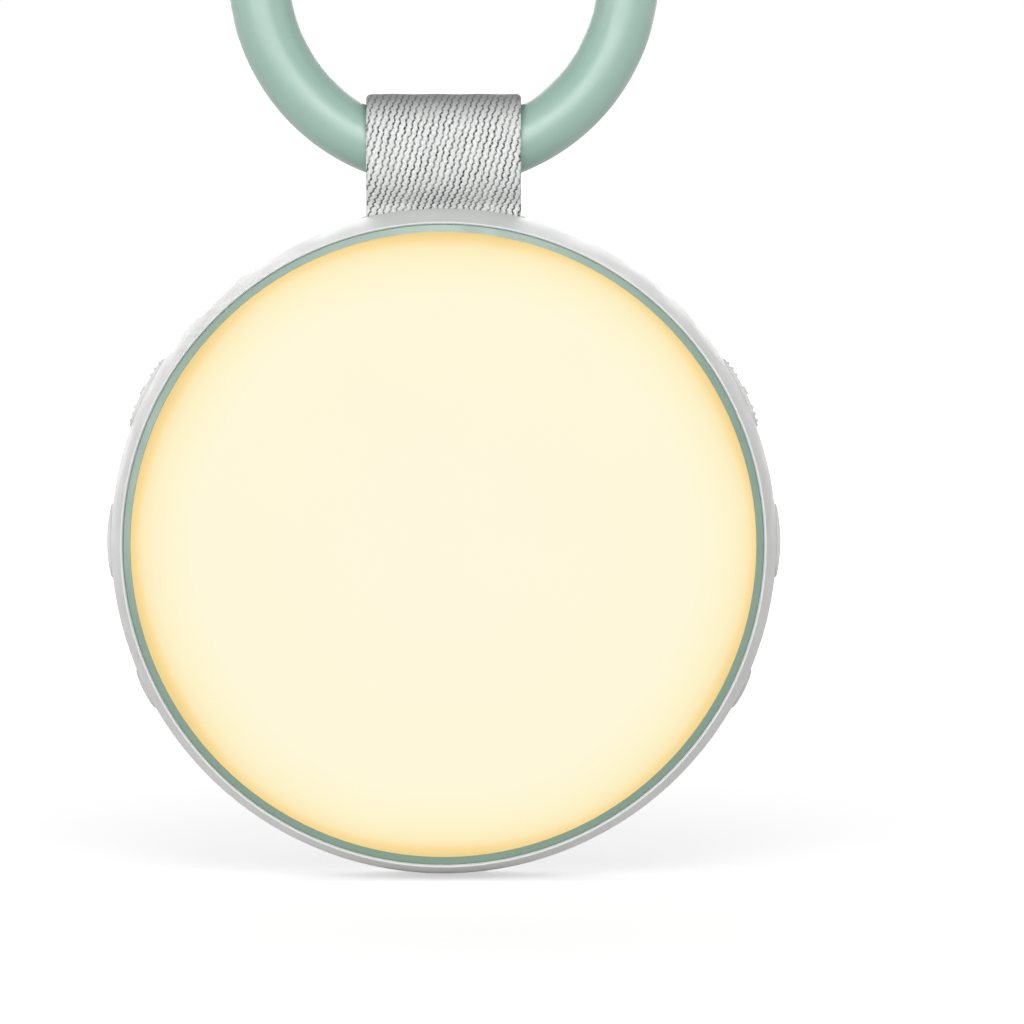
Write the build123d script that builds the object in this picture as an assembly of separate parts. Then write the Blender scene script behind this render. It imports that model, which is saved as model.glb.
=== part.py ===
"""Portable white noise sound machine with a night lamp, hung from a ring by a webbing strap.

The disc-shaped casing has an opal lamp on its front (-Y) and a cloth-covered speaker on its
back (+Y). Three controls sit in each side of the rim. +X is to the right seen from the lamp side,
+Z is up, and the origin is the point where a hook carries the ring, inside its top.
Lengths are in millimetres. Pieces of the casing are drawn about the casing's own centre.
"""

import os
from math import sqrt

from build123d import *

# Hanging ring
RING_MEAN_RADIUS = 29.8
RING_TUBE_RADIUS = 4.95

# Strap: one webbing band round the ring and a pin inside the casing
STRAP_WIDTH = 25.0
STRAP_PLY = 1.6
STRAP_SLACK = 0.3
STRAP_PLY_GAP = 0.4
STRAP_FOLD_GAP = 0.3
FOLD_HEIGHT = 1.1
RING_TO_CASE = 3.25
PIN_RADIUS = 1.5
PIN_DEPTH = 7.3
PIN_CLEARANCE = 0.1
SLOT_CLEARANCE = 0.7
SLOT_FLARE = 1.2
SLOT_FLARE_ANGLE = 40.0
EAR_THICKNESS = 2.2
EAR_GAP = 0.9
EAR_DEPTH = 5.2
EAR_LENGTH = 3.2

# Casing outline
CASE_RADIUS = 53.7
LIP_INSET = 1.85
LIP_WIDTH = 0.2
LIP_CHAMFER = 0.2
LIP_CHAMFER_DEPTH = 0.4
FRONT_DEPTH = 14.0
SIDE_FRONT = -1.0
PARTING_Y = 5.4
PARTING_GROOVE = 0.25
BEVEL_INSET = 1.1
BEVEL_Y = 8.3
REAR_DEPTH = 11.2
REAR_LIP_INSET = 4.3
REAR_LIP_WIDTH = 0.5
WALL = 2.0
FIT = 0.1

# Lamp side, from the lip inwards
TRIM_WIDTH = 1.15
TRIM_RECESS = 0.2
TRIM_FALL = 0.35
TRIM_FOOT_WIDTH = 3.2
TRIM_FOOT = 0.8
TRIM_GAP = 0.05
DIFFUSER_THICKNESS = 1.6
DIFFUSER_SKIRT = 1.2
DIFFUSER_GAP = 0.05
SHELF_WIDTH = 4.5
SHELF_THICKNESS = 1.2
TRAY_SHEET = 0.8
TRAY_DEPTH = 3.2
TRAY_RIM_WIDTH = 4.0
LAMP_COUNT = 6
LAMP_INSET = 5.9
LAMP_SIZE = 3.5
LAMP_HEIGHT = 1.2
LAMP_WINDOW_CLEARANCE = 0.4
LED_BOARD_THICKNESS = 1.0
LED_BOARD_MARGIN = 0.8

# Chassis and main board
PAD_HEIGHT = 0.6
PAD_RADIUS = 2.6
PAD_INSET = 6.2
CHASSIS_THICKNESS = 1.2
CHASSIS_GAP = 0.8
STANDOFF = 0.8
BOARD_THICKNESS = 1.2
BOARD_GAP = 5.9
LUG_INSET = 2.5
LUG_RADIUS = 2.2
LUG_ANGLE = 60.0
LUG_SCREW_RADIUS = 0.95
BOSS_INSET = 5.5
BOSS_RADIUS = 2.7
BOSS_ANGLE = 45.0
BOSS_SPLIT_Y = 4.0
SHELL_SCREW_RADIUS = 1.15
SHELL_SCREW_REACH = 5.0
BOARD_SCREW_RADIUS = 0.9
SCREW_HEAD_HEIGHT = 1.3
SCREW_CLEARANCE = 0.15
THREAD_GAP = 0.05
BATTERY_SIZE = (44.0, 6.0, 24.0)
BATTERY_GAP = 1.8
BATTERY_ROUNDING = 1.2
PAD_TAPE = 0.5
TAPE_MARGIN = 2.0
BOARD_PARTS = [
    # Place in X and Z as shares of the board's radius, then width, length and height
    (-0.68, 0.13, (7.0, 7.0, 1.0)),
    (-0.61, -0.09, (5.0, 4.0, 1.6)),
    (0.68, 0.04, (6.0, 5.0, 1.0)),
    (0.63, -0.15, (4.0, 4.0, 2.4)),
]
TALL_PARTS = [
    # Side of the cell, gap to it, place up it as a share of its height, then the same sizes
    (-1, 1.7, 0.21, (7.6, 4.6, 4.2)),
    (1, 3.0, 0.42, (5.8, 4.6, 4.2)),
]
USB_WIDTH = 9.0
USB_HEIGHT = 3.2
USB_LENGTH = 7.2
USB_WALL = 0.35
USB_TONGUE = (6.6, 0.7, 4.6)
USB_SETBACK = 1.0
USB_CLEARANCE = 0.25

# Rear side, from the lip inwards
SEAT_DEPTH = 1.8
SEAT_THICKNESS = 1.2
SEAT_WIDTH = 6.9
SPIGOT_DEPTH = 1.5
SPIGOT_WALL = 1.4
GRILLE_SHEET = 1.2
GRILLE_RIM = 0.8
GRILLE_CROWN = 1.6
GRILLE_SHOULDER = 6.0
GRILLE_EDGE_GAP = 0.55
CLOTH = 0.7
CLOTH_GAP = 0.05
HOLE_RADIUS = 1.6
HOLE_PITCH = 4.9
HOLE_FIELD_MARGIN = 0.4
LIGHT_PIPE_RADIUS = 0.95
LIGHT_PIPE_LENGTH = 3.2
LIGHT_PIPE_GAP = 0.05
LIGHT_PIPE_SHARE = 0.26

# Speaker
SPEAKER_Z = 9.0
SPEAKER_RADIUS = 22.2
SPEAKER_FLANGE_WIDTH = 4.6
SPEAKER_FLANGE = 0.8
SPEAKER_SCREW_INSET = 1.7
SPEAKER_SCREW_RADIUS = 0.7
GASKET_THICKNESS = 0.4
GASKET_WIDTH = 3.5
BASKET_DEPTH = 5.6
BASKET_SLOPE = 5.6
BASKET_SHEET = 0.7
BASKET_WINDOWS = 5
BASKET_WINDOW_ANGLE = 42.0
BASKET_WINDOW_WIDTH = 3.4
COIL_RADIUS = 4.2
COIL_WALL = 0.45
COIL_GAP = 0.3
POLE_RADIUS = 3.4
PLATE_INSET = 0.7
TOP_PLATE_THICKNESS = 0.8
MAGNET_INSET = 1.1
MAGNET_HEIGHT = 3.2
YOKE_THICKNESS = 1.5
ROLL_WIDTH = 2.8
CONE_PAPER = 0.4
ROLL_RISE = 1.3
ROLL_FOLD = 0.7
SPIDER_INSET = 0.4
SPIDER_SHEET = 0.35
SPIDER_WAVE = 0.5
SPIDER_RISE = 1.0
SPIDER_STEPS = 5
BOARD_HOLE_CLEARANCE = 0.6

# Controls in the rim: volume, timer and sound on -X, brightness, lamp and tone on +X
CONTROL_ANGLE = 26.5
CONTROL_HEIGHT = 5.2
ROCKER_LENGTH = 12.4
BUTTON_LENGTH = 12.0
SMALL_BUTTON_LENGTH = 7.0
CAP_PROUD = 0.6
SMALL_CAP_PROUD = 0.45
CAP_END_PROUD = 0.25
CAP_CLEARANCE = 0.18
CAP_ROUNDING = 0.3
FLANGE_OVERLAP = 0.6
FLANGE_THICKNESS = 0.8
FLANGE_GAP = 0.12
ROCKER_FLANGE_GAP = 0.45
ROCKER_STEM_OFFSET = 4.2
STEM_RADIUS = 1.2
PRESS_GAP = 0.45
NUB_RADIUS = 0.8
NUB_GAP = 0.1
POST_WIDTH = 2.4
POST_DEPTH = 2.0
POST_HEIGHT = 5.0
RIB_COUNT = 3
RIB_PITCH = 1.15
RIB_WIDTH = 0.5
RIB_LENGTH = 3.2
RIB_PROUD = 0.25
RIB_START = 2.9
MARK_LENGTH = 1.6
MARK_WIDTH = 0.5
SWITCH_WIDTH = 4.4
SWITCH_HEIGHT = 2.8
SWITCH_DEPTH = 3.6
PLUNGER_RADIUS = 0.9
PLUNGER_LENGTH = 1.2

# Worked out: places up and down
RING_Z = RING_TUBE_RADIUS - RING_MEAN_RADIUS
TUBE_Z = RING_Z - RING_MEAN_RADIUS
CASE_Z = TUBE_Z - RING_TUBE_RADIUS - RING_TO_CASE - CASE_RADIUS
FOLD_Z = CASE_Z + CASE_RADIUS + FOLD_HEIGHT
PIN_Z = CASE_RADIUS - PIN_DEPTH
NECK_HALF = STRAP_PLY + STRAP_PLY_GAP / 2

# Worked out: radii of the casing
WALL_RADIUS = CASE_RADIUS - WALL
LIP_RADIUS = CASE_RADIUS - LIP_INSET
BEVEL_RADIUS = CASE_RADIUS - BEVEL_INSET
REAR_LIP_RADIUS = CASE_RADIUS - REAR_LIP_INSET
RECESS_RADIUS = REAR_LIP_RADIUS - REAR_LIP_WIDTH
TRIM_BORE = LIP_RADIUS - LIP_WIDTH - LIP_CHAMFER
TRIM_RADIUS = TRIM_BORE - TRIM_GAP
DIFFUSER_RADIUS = TRIM_RADIUS - TRIM_WIDTH
SHELF_RADIUS = TRIM_BORE - SHELF_WIDTH
TRAY_RADIUS = SHELF_RADIUS - FIT
LED_BOARD_RADIUS = TRAY_RADIUS - TRAY_DEPTH - LED_BOARD_MARGIN
CHASSIS_RADIUS = WALL_RADIUS - CHASSIS_GAP
BOARD_RADIUS = WALL_RADIUS - BOARD_GAP
LAMP_CIRCLE = LED_BOARD_RADIUS - LAMP_INSET
LUG_CIRCLE = WALL_RADIUS - LUG_INSET
BOSS_CIRCLE = WALL_RADIUS - BOSS_INSET
PAD_CIRCLE = BOARD_RADIUS - PAD_INSET
SEAT_RADIUS = RECESS_RADIUS - SEAT_WIDTH
GRILLE_RADIUS = RECESS_RADIUS - GRILLE_EDGE_GAP - FIT
CLOTH_RADIUS = RECESS_RADIUS - FIT

# Worked out: radii of the speaker and the cell's place
SPEAKER_OPENING = SPEAKER_RADIUS - SPEAKER_FLANGE_WIDTH
SPEAKER_SCREW_CIRCLE = SPEAKER_RADIUS - SPEAKER_SCREW_INSET
CONE_RADIUS = SPEAKER_OPENING - ROLL_WIDTH
HOLE_FIELD = CONE_RADIUS + HOLE_FIELD_MARGIN
BASKET_FLOOR_RADIUS = SPEAKER_OPENING - BASKET_SLOPE
SPIDER_RADIUS = BASKET_FLOOR_RADIUS - SPIDER_INSET
MAGNET_RADIUS = BASKET_FLOOR_RADIUS - MAGNET_INSET
PLATE_RADIUS = MAGNET_RADIUS - PLATE_INSET
BATTERY_Z = SPEAKER_Z - SPEAKER_RADIUS - BATTERY_GAP - BATTERY_SIZE[2] / 2

# Worked out: depths of the layers, front to back
LIP_Y = -FRONT_DEPTH
DIFFUSER_FRONT = LIP_Y + TRIM_RECESS
DIFFUSER_BACK = DIFFUSER_FRONT + DIFFUSER_THICKNESS
SHELF_FRONT = DIFFUSER_BACK + TRIM_FOOT
SHELF_BACK = SHELF_FRONT + SHELF_THICKNESS
TRAY_BACK = SHELF_BACK + TRAY_SHEET + TRAY_DEPTH
LED_BOARD_BACK = TRAY_BACK + LED_BOARD_THICKNESS
CHASSIS_FRONT = LED_BOARD_BACK + PAD_HEIGHT
CHASSIS_BACK = CHASSIS_FRONT + CHASSIS_THICKNESS
BOARD_FRONT = CHASSIS_BACK + STANDOFF
BOARD_BACK = BOARD_FRONT + BOARD_THICKNESS
BATTERY_FRONT = BOARD_BACK + PAD_TAPE
CONTROL_Y = BOARD_BACK + SWITCH_HEIGHT / 2
USB_Y = BOARD_BACK + USB_HEIGHT / 2

# Worked out: depths of the layers, back to front
SEAT_BACK = REAR_DEPTH - SEAT_DEPTH
SEAT_FRONT = SEAT_BACK - SEAT_THICKNESS
SCREW_SEAT = SEAT_BACK - SCREW_HEAD_HEIGHT - FIT
GRILLE_BACK = SEAT_BACK + GRILLE_RIM + GRILLE_CROWN
GRILLE_FRONT = GRILLE_BACK - GRILLE_SHEET
GASKET_BACK = SEAT_BACK - FIT
FLANGE_BACK = GASKET_BACK - GASKET_THICKNESS
FLANGE_FRONT = FLANGE_BACK - SPEAKER_FLANGE
BASKET_FLOOR = FLANGE_BACK - BASKET_DEPTH
TOP_PLATE_BACK = BASKET_FLOOR - BASKET_SHEET
MAGNET_BACK = TOP_PLATE_BACK - TOP_PLATE_THICKNESS
MAGNET_FRONT = MAGNET_BACK - MAGNET_HEIGHT
YOKE_FRONT = MAGNET_FRONT - YOKE_THICKNESS

# Places of the fasteners, as a circle and the angles round it, and of the controls
BOSS_PLACES = BOSS_CIRCLE, [BOSS_ANGLE, 180 - BOSS_ANGLE, 180 + BOSS_ANGLE, -BOSS_ANGLE]
LUG_PLACES = LUG_CIRCLE, [LUG_ANGLE, 180 - LUG_ANGLE, 180 + LUG_ANGLE, -LUG_ANGLE]
PAD_PLACES = PAD_CIRCLE, [90.0, 210.0, 330.0]
SPEAKER_SCREW_PLACES = SPEAKER_SCREW_CIRCLE, [45.0, 135.0, 225.0, 315.0]
CONTROL_PLACES = [
    (BUTTON_LENGTH, [0, 180]),
    (ROCKER_LENGTH, [CONTROL_ANGLE, 180 - CONTROL_ANGLE]),
    (SMALL_BUTTON_LENGTH, [-CONTROL_ANGLE, 180 + CONTROL_ANGLE]),
]
DEEP = 40.0


def turned(*points):
    """A solid turned about the casing's depth axis from corners given as (radius, depth)."""
    return revolve(make_face(Polyline(*points, close=True)), Axis.Y)


def turned_outline(edges):
    """The same from a closed outline of lines and arcs."""
    return revolve(make_face(Curve() + edges), Axis.Y)


def slab(outline, front, back):
    """An outline in X and Z, filled from one depth to another."""
    return extrude(Plane.XZ.offset(-back) * outline, amount=back - front)


def disc(radius, front, back):
    """A round plate or post along the depth axis."""
    return slab(Circle(radius), front, back)


def around(piece, angle):
    """The piece turned about the depth axis, from +X towards +Z."""
    return Rot(0, -angle, 0) * piece


def spread(piece, circle, angles):
    """Copies of a piece that is drawn on the depth axis, set on a circle."""
    return [around(Pos(circle, 0, 0) * piece, angle) for angle in angles]


def through_holes(screw_radius, places):
    """Clearance holes for screws, right through, at the places of the fasteners."""
    return spread(disc(screw_radius + SCREW_CLEARANCE, -DEEP, DEEP), *places)


def at_speaker(piece):
    """A piece of the speaker moved to the speaker's place in the casing."""
    return Pos(0, 0, SPEAKER_Z) * piece


def sheet_through(points, thickness):
    """Corners of a thin turned sheet: the line of points, and back along it at a thickness."""
    return points + [(radius, depth - thickness) for radius, depth in reversed(points)]


# Ring and strap


def hang_ring():
    """Round-section ring, moulded in one piece."""
    return Pos(0, 0, RING_Z) * Rot(90, 0, 0) * Torus(RING_MEAN_RADIUS, RING_TUBE_RADIUS)


def strap_side(tube_radius, neck_radius):
    """Side outline of the band round the tube, which climbs towards its edges, and to the fold."""
    inner_radius = RING_MEAN_RADIUS - RING_TUBE_RADIUS
    climb = inner_radius - sqrt(inner_radius**2 - (STRAP_WIDTH / 2) ** 2)
    rings = [
        Pos(0, TUBE_Z + climb) * Circle(tube_radius),
        Pos(0, TUBE_Z) * Circle(tube_radius),
        Pos(0, FOLD_Z) * Circle(neck_radius),
    ]
    return make_hull([ring.edge() for ring in rings])


def strap():
    """The visible loop of webbing, from round the ring down to the fold at the casing's slot."""
    hollow = RING_TUBE_RADIUS + STRAP_SLACK
    side = strap_side(hollow + STRAP_PLY, NECK_HALF) - strap_side(hollow, STRAP_PLY_GAP / 2)
    return extrude(Plane.YZ * side, amount=STRAP_WIDTH / 2, both=True)


def strap_tail():
    """The rest of the same band inside the casing, sewn round the pin."""
    top = CASE_RADIUS + FOLD_HEIGHT - NECK_HALF - STRAP_FOLD_GAP
    knuckle = PIN_RADIUS + PIN_CLEARANCE + STRAP_PLY
    shoulder = top - NECK_HALF
    rings = [Pos(0, PIN_Z) * Circle(knuckle), Pos(0, shoulder) * Circle(NECK_HALF)]
    side = make_hull([ring.edge() for ring in rings])
    side += Pos(0, (shoulder + top) / 2) * Rectangle(2 * NECK_HALF, top - shoulder)
    side -= Pos(0, PIN_Z) * Circle(PIN_RADIUS + PIN_CLEARANCE)
    return extrude(Plane.YZ * side, amount=STRAP_WIDTH / 2, both=True)


def ear_reach():
    """How far the ears' outer faces stand from the middle of the strap."""
    return STRAP_WIDTH / 2 + EAR_GAP + EAR_THICKNESS


def strap_pin():
    """Steel pin that the band goes round, held in two ears of the front shell."""
    return Pos(0, 0, PIN_Z) * Rot(0, 90, 0) * Cylinder(PIN_RADIUS, 2 * ear_reach())


def strap_slot():
    """The way through the rim for the band, flared at its mouth."""
    slot = RectangleRounded(
        STRAP_WIDTH + 2 * SLOT_CLEARANCE, 2 * (NECK_HALF + SLOT_CLEARANCE), NECK_HALF
    )
    throat = extrude(Plane.XY.offset(PIN_Z) * slot, amount=CASE_RADIUS)
    mouth = Plane.XY.offset(CASE_RADIUS - SLOT_FLARE) * slot
    return throat + extrude(mouth, amount=3 * SLOT_FLARE, taper=-SLOT_FLARE_ANGLE)


def strap_well(front):
    """Room that plates leave behind the slot for the band, its pin and the ears."""
    half = ear_reach() + CHASSIS_GAP
    low = PIN_Z - EAR_LENGTH - CHASSIS_GAP
    well = Pos(0, low + CASE_RADIUS / 2) * Rectangle(2 * half, CASE_RADIUS)
    return slab(well, front - DEEP, front + DEEP)


# Controls in the rim


def rim_slot(length, height, low, high):
    """A round-ended block that reaches outwards through the rim at +X."""
    outline = SlotOverall(length, height, rotation=90)
    return Pos(0, CONTROL_Y, 0) * extrude(Plane.YZ.offset(low) * outline, amount=high - low)


def rim_window(length):
    """The window in the side wall that a cap stands in."""
    height = CONTROL_HEIGHT + 2 * CAP_CLEARANCE
    return rim_slot(length + 2 * CAP_CLEARANCE, height, WALL_RADIUS - WALL, CASE_RADIUS + WALL)


def control_bays():
    """Room that the chassis and the rear shell leave for the caps' flanges."""
    height = CONTROL_HEIGHT + 2 * (FLANGE_OVERLAP + CAP_CLEARANCE)
    low = BOARD_RADIUS + PLUNGER_LENGTH
    bays = []
    for length, angles in CONTROL_PLACES:
        bay = rim_slot(length + height - CONTROL_HEIGHT, height, low, WALL_RADIUS)
        bays += [around(bay, angle) for angle in angles]
    return bays


def crown(length, proud, lift=0.0):
    """A disc whose edge is a cap's face, proudest in the middle and nearly flush at its ends."""
    half = length / 2
    drop = CASE_RADIUS + proud - sqrt((CASE_RADIUS + CAP_END_PROUD) ** 2 - half**2)
    radius = (half**2 + drop**2) / (2 * drop)
    return Pos(CASE_RADIUS + proud - radius, 0, 0) * disc(radius + lift, -DEEP, DEEP)


def cap(length, proud, flange_gap):
    """A control's crowned cap at +X, with the flange that keeps it in the casing."""
    flange_radius = WALL_RADIUS - flange_gap
    body = rim_slot(length, CONTROL_HEIGHT, flange_radius - WALL, CASE_RADIUS + WALL)
    body &= crown(length, proud)
    body = fillet(body.faces().sort_by(Axis.X)[-1].edges(), CAP_ROUNDING)
    rim = 2 * FLANGE_OVERLAP
    flange = rim_slot(length + rim, CONTROL_HEIGHT + rim, CASE_RADIUS / 2, CASE_RADIUS)
    flange &= disc(flange_radius, -DEEP, DEEP)
    core = disc(flange_radius - FLANGE_THICKNESS, -DEEP, DEEP)
    return (body - core) + (flange - core)


def stem(flange_gap, offset=0.0):
    """Post behind a cap that presses a switch."""
    low = BOARD_RADIUS + PLUNGER_LENGTH + PRESS_GAP
    high = WALL_RADIUS - flange_gap - FLANGE_THICKNESS / 2
    post = extrude(Plane.YZ.offset(low) * Circle(STEM_RADIUS), amount=high - low)
    return Pos(0, CONTROL_Y, offset) * post


def push_button(length, proud):
    """A button that travels straight in towards the casing's centre."""
    return cap(length, proud, FLANGE_GAP) + stem(FLANGE_GAP)


def rocker_rib(offset, width, length):
    """One raised bar across a rocker's cap, at a distance along it."""
    bar = Pos(CASE_RADIUS, CONTROL_Y, offset) * Box(2 * WALL, length, width)
    return bar & crown(ROCKER_LENGTH, CAP_PROUD, RIB_PROUD)


def rocker():
    """A rocker with ribbed ends and a nub behind its middle that it tips on."""
    piece = cap(ROCKER_LENGTH, CAP_PROUD, ROCKER_FLANGE_GAP)
    for side in (-1, 1):
        piece += stem(ROCKER_FLANGE_GAP, side * ROCKER_STEM_OFFSET)
        for number in range(RIB_COUNT):
            offset = side * (RIB_START + number * RIB_PITCH)
            piece += rocker_rib(offset, RIB_WIDTH, RIB_LENGTH)
    piece += rocker_rib(0.0, MARK_LENGTH, MARK_WIDTH)
    back = WALL_RADIUS - ROCKER_FLANGE_GAP - FLANGE_THICKNESS
    nub = Pos(back, CONTROL_Y, 0) * Rot(90, 0, 0) * Cylinder(NUB_RADIUS, CONTROL_HEIGHT / 2)
    return piece + nub


def rocker_post():
    """Post on the chassis that a rocker's nub tips on."""
    back = WALL_RADIUS - ROCKER_FLANGE_GAP - FLANGE_THICKNESS
    face = back - NUB_RADIUS - NUB_GAP
    outline = Pos(face - POST_DEPTH / 2, 0) * Rectangle(POST_DEPTH, POST_WIDTH)
    return slab(outline, CHASSIS_FRONT, CHASSIS_BACK + POST_HEIGHT)


def side_switch(offset=0.0):
    """A side-pressed switch at the board's edge; its plunger is drawn pressed in."""
    body = Box(SWITCH_DEPTH, SWITCH_HEIGHT, SWITCH_WIDTH)
    plunger = Pos(SWITCH_DEPTH / 2 + PLUNGER_LENGTH / 2, 0, 0) * Rot(0, 90, 0) * Cylinder(
        PLUNGER_RADIUS, PLUNGER_LENGTH
    )
    return Pos(BOARD_RADIUS - SWITCH_DEPTH / 2, CONTROL_Y, offset) * (body + plunger)


def side_switches():
    """All the switches: two behind each rocker and one behind each button."""
    switches = []
    for angle in (180 - CONTROL_ANGLE, CONTROL_ANGLE):
        for side in (-1, 1):
            switches.append(around(side_switch(side * ROCKER_STEM_OFFSET), angle))
    for angle in (180, 180 + CONTROL_ANGLE, 0, -CONTROL_ANGLE):
        switches.append(around(side_switch(), angle))
    return Compound(switches)


# Lamp side


def front_outline():
    """Section of the front shell: curved front, chamfered lip, side wall and the lamp's shelf."""
    groove = PARTING_GROOVE
    curve = TangentArc((CASE_RADIUS, SIDE_FRONT), (LIP_RADIUS, LIP_Y), tangent=(0, -1))
    rest = Polyline(
        (LIP_RADIUS, LIP_Y),
        (LIP_RADIUS - LIP_WIDTH, LIP_Y),
        (TRIM_BORE, LIP_Y + LIP_CHAMFER_DEPTH),
        (TRIM_BORE, SHELF_FRONT),
        (SHELF_RADIUS, SHELF_FRONT),
        (SHELF_RADIUS, SHELF_BACK),
        (WALL_RADIUS, SHELF_BACK),
        (WALL_RADIUS, PARTING_Y),
        (CASE_RADIUS - groove, PARTING_Y),
        (CASE_RADIUS, PARTING_Y - groove),
        (CASE_RADIUS, SIDE_FRONT),
    )
    return [curve, rest]


def strap_ears():
    """Two ears on the side wall, either side of the slot, that hold the pin."""
    high = sqrt(WALL_RADIUS**2 - ear_reach() ** 2) + WALL / 2
    low = PIN_Z - EAR_LENGTH
    middle = ear_reach() - EAR_THICKNESS / 2
    ear = Pos(middle, 0, (low + high) / 2) * Box(EAR_THICKNESS, EAR_DEPTH, high - low)
    hole = Pos(0, 0, PIN_Z) * Rot(0, 90, 0) * Cylinder(PIN_RADIUS, 2 * CASE_RADIUS)
    return (ear - hole) + mirror(ear - hole, Plane.YZ)


def usb_window():
    """The opening in the rim for the charging plug."""
    outline = Pos(0, USB_Y) * SlotOverall(
        USB_WIDTH + 2 * USB_CLEARANCE, USB_HEIGHT + 2 * USB_CLEARANCE
    )
    return extrude(Plane.XY.offset(-WALL_RADIUS + WALL) * outline, amount=-CASE_RADIUS)


def front_shell():
    """Moulded front half of the casing with its side wall, windows, lugs and ears."""
    shell = turned_outline(front_outline())
    for lug in spread(disc(LUG_RADIUS, SHELF_FRONT, CHASSIS_FRONT), *LUG_PLACES):
        shell += lug
    shell += strap_ears()
    for pilot in spread(disc(LUG_SCREW_RADIUS, SHELF_BACK, DEEP), *LUG_PLACES):
        shell -= pilot
    shell -= strap_slot()
    shell -= usb_window()
    for length, angles in CONTROL_PLACES:
        for angle in angles:
            shell -= around(rim_window(length), angle)
    return shell


def trim_ring():
    """Coloured ring whose face falls away from the lamp, with a foot that the diffuser sits on."""
    return turned(
        (TRIM_RADIUS, DIFFUSER_FRONT + TRIM_FALL),
        (TRIM_RADIUS, SHELF_FRONT),
        (TRIM_RADIUS - TRIM_FOOT_WIDTH, SHELF_FRONT),
        (TRIM_RADIUS - TRIM_FOOT_WIDTH, DIFFUSER_BACK),
        (DIFFUSER_RADIUS, DIFFUSER_BACK),
        (DIFFUSER_RADIUS, DIFFUSER_FRONT),
    )


def diffuser():
    """Opal lamp cover with a skirt that locates it inside the trim ring's foot."""
    skirt = TRIM_RADIUS - TRIM_FOOT_WIDTH - FIT
    radius = DIFFUSER_RADIUS - DIFFUSER_GAP
    return turned(
        (0, DIFFUSER_FRONT),
        (radius, DIFFUSER_FRONT),
        (radius, DIFFUSER_BACK),
        (skirt, DIFFUSER_BACK),
        (skirt, DIFFUSER_BACK + TRIM_FOOT),
        (skirt - DIFFUSER_SKIRT, DIFFUSER_BACK + TRIM_FOOT),
        (skirt - DIFFUSER_SKIRT, DIFFUSER_BACK),
        (0, DIFFUSER_BACK),
    )


def light_tray():
    """White reflector pan behind the diffuser, with a window for each lamp."""
    rim = SHELF_BACK + TRAY_SHEET
    floor = TRAY_RADIUS - TRAY_DEPTH
    pan = turned(
        (0, TRAY_BACK - TRAY_SHEET),
        (floor - TRAY_SHEET / 2, TRAY_BACK - TRAY_SHEET),
        (TRAY_RADIUS - TRAY_SHEET / 2, SHELF_BACK),
        (TRAY_RADIUS + TRAY_RIM_WIDTH, SHELF_BACK),
        (TRAY_RADIUS + TRAY_RIM_WIDTH, rim),
        (TRAY_RADIUS + TRAY_SHEET / 2, rim),
        (floor + TRAY_SHEET / 2, TRAY_BACK),
        (0, TRAY_BACK),
    )
    side = LAMP_SIZE + 2 * LAMP_WINDOW_CLEARANCE
    windows = Sketch() + PolarLocations(LAMP_CIRCLE, LAMP_COUNT) * Rectangle(side, side)
    pan -= slab(windows, TRAY_BACK - 2 * TRAY_SHEET, TRAY_BACK)
    for lug in spread(disc(LUG_RADIUS + FIT, SHELF_BACK, CHASSIS_FRONT), *LUG_PLACES):
        pan -= lug
    return pan


def led_board():
    """Round board that carries the lamps."""
    return disc(LED_BOARD_RADIUS, TRAY_BACK, LED_BOARD_BACK)


def lamp_leds():
    """The lamps, each standing in its window of the tray."""
    bodies = Sketch() + PolarLocations(LAMP_CIRCLE, LAMP_COUNT) * Rectangle(LAMP_SIZE, LAMP_SIZE)
    return slab(bodies, TRAY_BACK - LAMP_HEIGHT, TRAY_BACK)


# Chassis, board and battery


def chassis():
    """Moulded plate across the casing that carries the boards and takes the shell screws."""
    plate = disc(CHASSIS_RADIUS, CHASSIS_FRONT, CHASSIS_BACK)
    plate -= strap_well(CHASSIS_FRONT)
    for bay in control_bays():
        plate -= bay
    for pad in spread(disc(PAD_RADIUS, LED_BOARD_BACK, BOARD_FRONT), *PAD_PLACES):
        plate += pad
    for boss in spread(disc(BOSS_RADIUS, CHASSIS_FRONT, BOSS_SPLIT_Y), *BOSS_PLACES):
        plate += boss
    for angle in (CONTROL_ANGLE, 180 - CONTROL_ANGLE):
        plate += around(rocker_post(), angle)
    pilot = disc(SHELL_SCREW_RADIUS, BOSS_SPLIT_Y - SHELL_SCREW_REACH - FIT, DEEP)
    for hole in spread(pilot, *BOSS_PLACES):
        plate -= hole
    for hole in spread(disc(BOARD_SCREW_RADIUS, -DEEP, DEEP), *PAD_PLACES):
        plate -= hole
    for hole in through_holes(LUG_SCREW_RADIUS, LUG_PLACES):
        plate -= hole
    return plate


def main_board():
    """Board with the electronics: round the speaker's magnet and out to the charging socket."""
    board = disc(BOARD_RADIUS, BOARD_FRONT, BOARD_BACK)
    socket_end = CASE_RADIUS - USB_SETBACK - USB_WALL
    tongue = Pos(0, -socket_end / 2) * Rectangle(USB_WIDTH + 2 * WALL, socket_end)
    tongue &= Circle(WALL_RADIUS - CHASSIS_GAP)
    board += slab(tongue, BOARD_FRONT, BOARD_BACK)
    board -= strap_well(BOARD_FRONT)
    board -= at_speaker(disc(MAGNET_RADIUS + BOARD_HOLE_CLEARANCE, -DEEP, DEEP))
    notch_radius = BOSS_RADIUS + BOARD_HOLE_CLEARANCE
    for notch in spread(disc(notch_radius, -DEEP, DEEP), *BOSS_PLACES):
        board -= notch
    for hole in through_holes(BOARD_SCREW_RADIUS, PAD_PLACES):
        board -= hole
    return board


def board_part(x, z, width, length, height):
    """One package soldered on the board."""
    return slab(Pos(x, z) * Rectangle(width, length), BOARD_BACK, BOARD_BACK + height)


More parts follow.
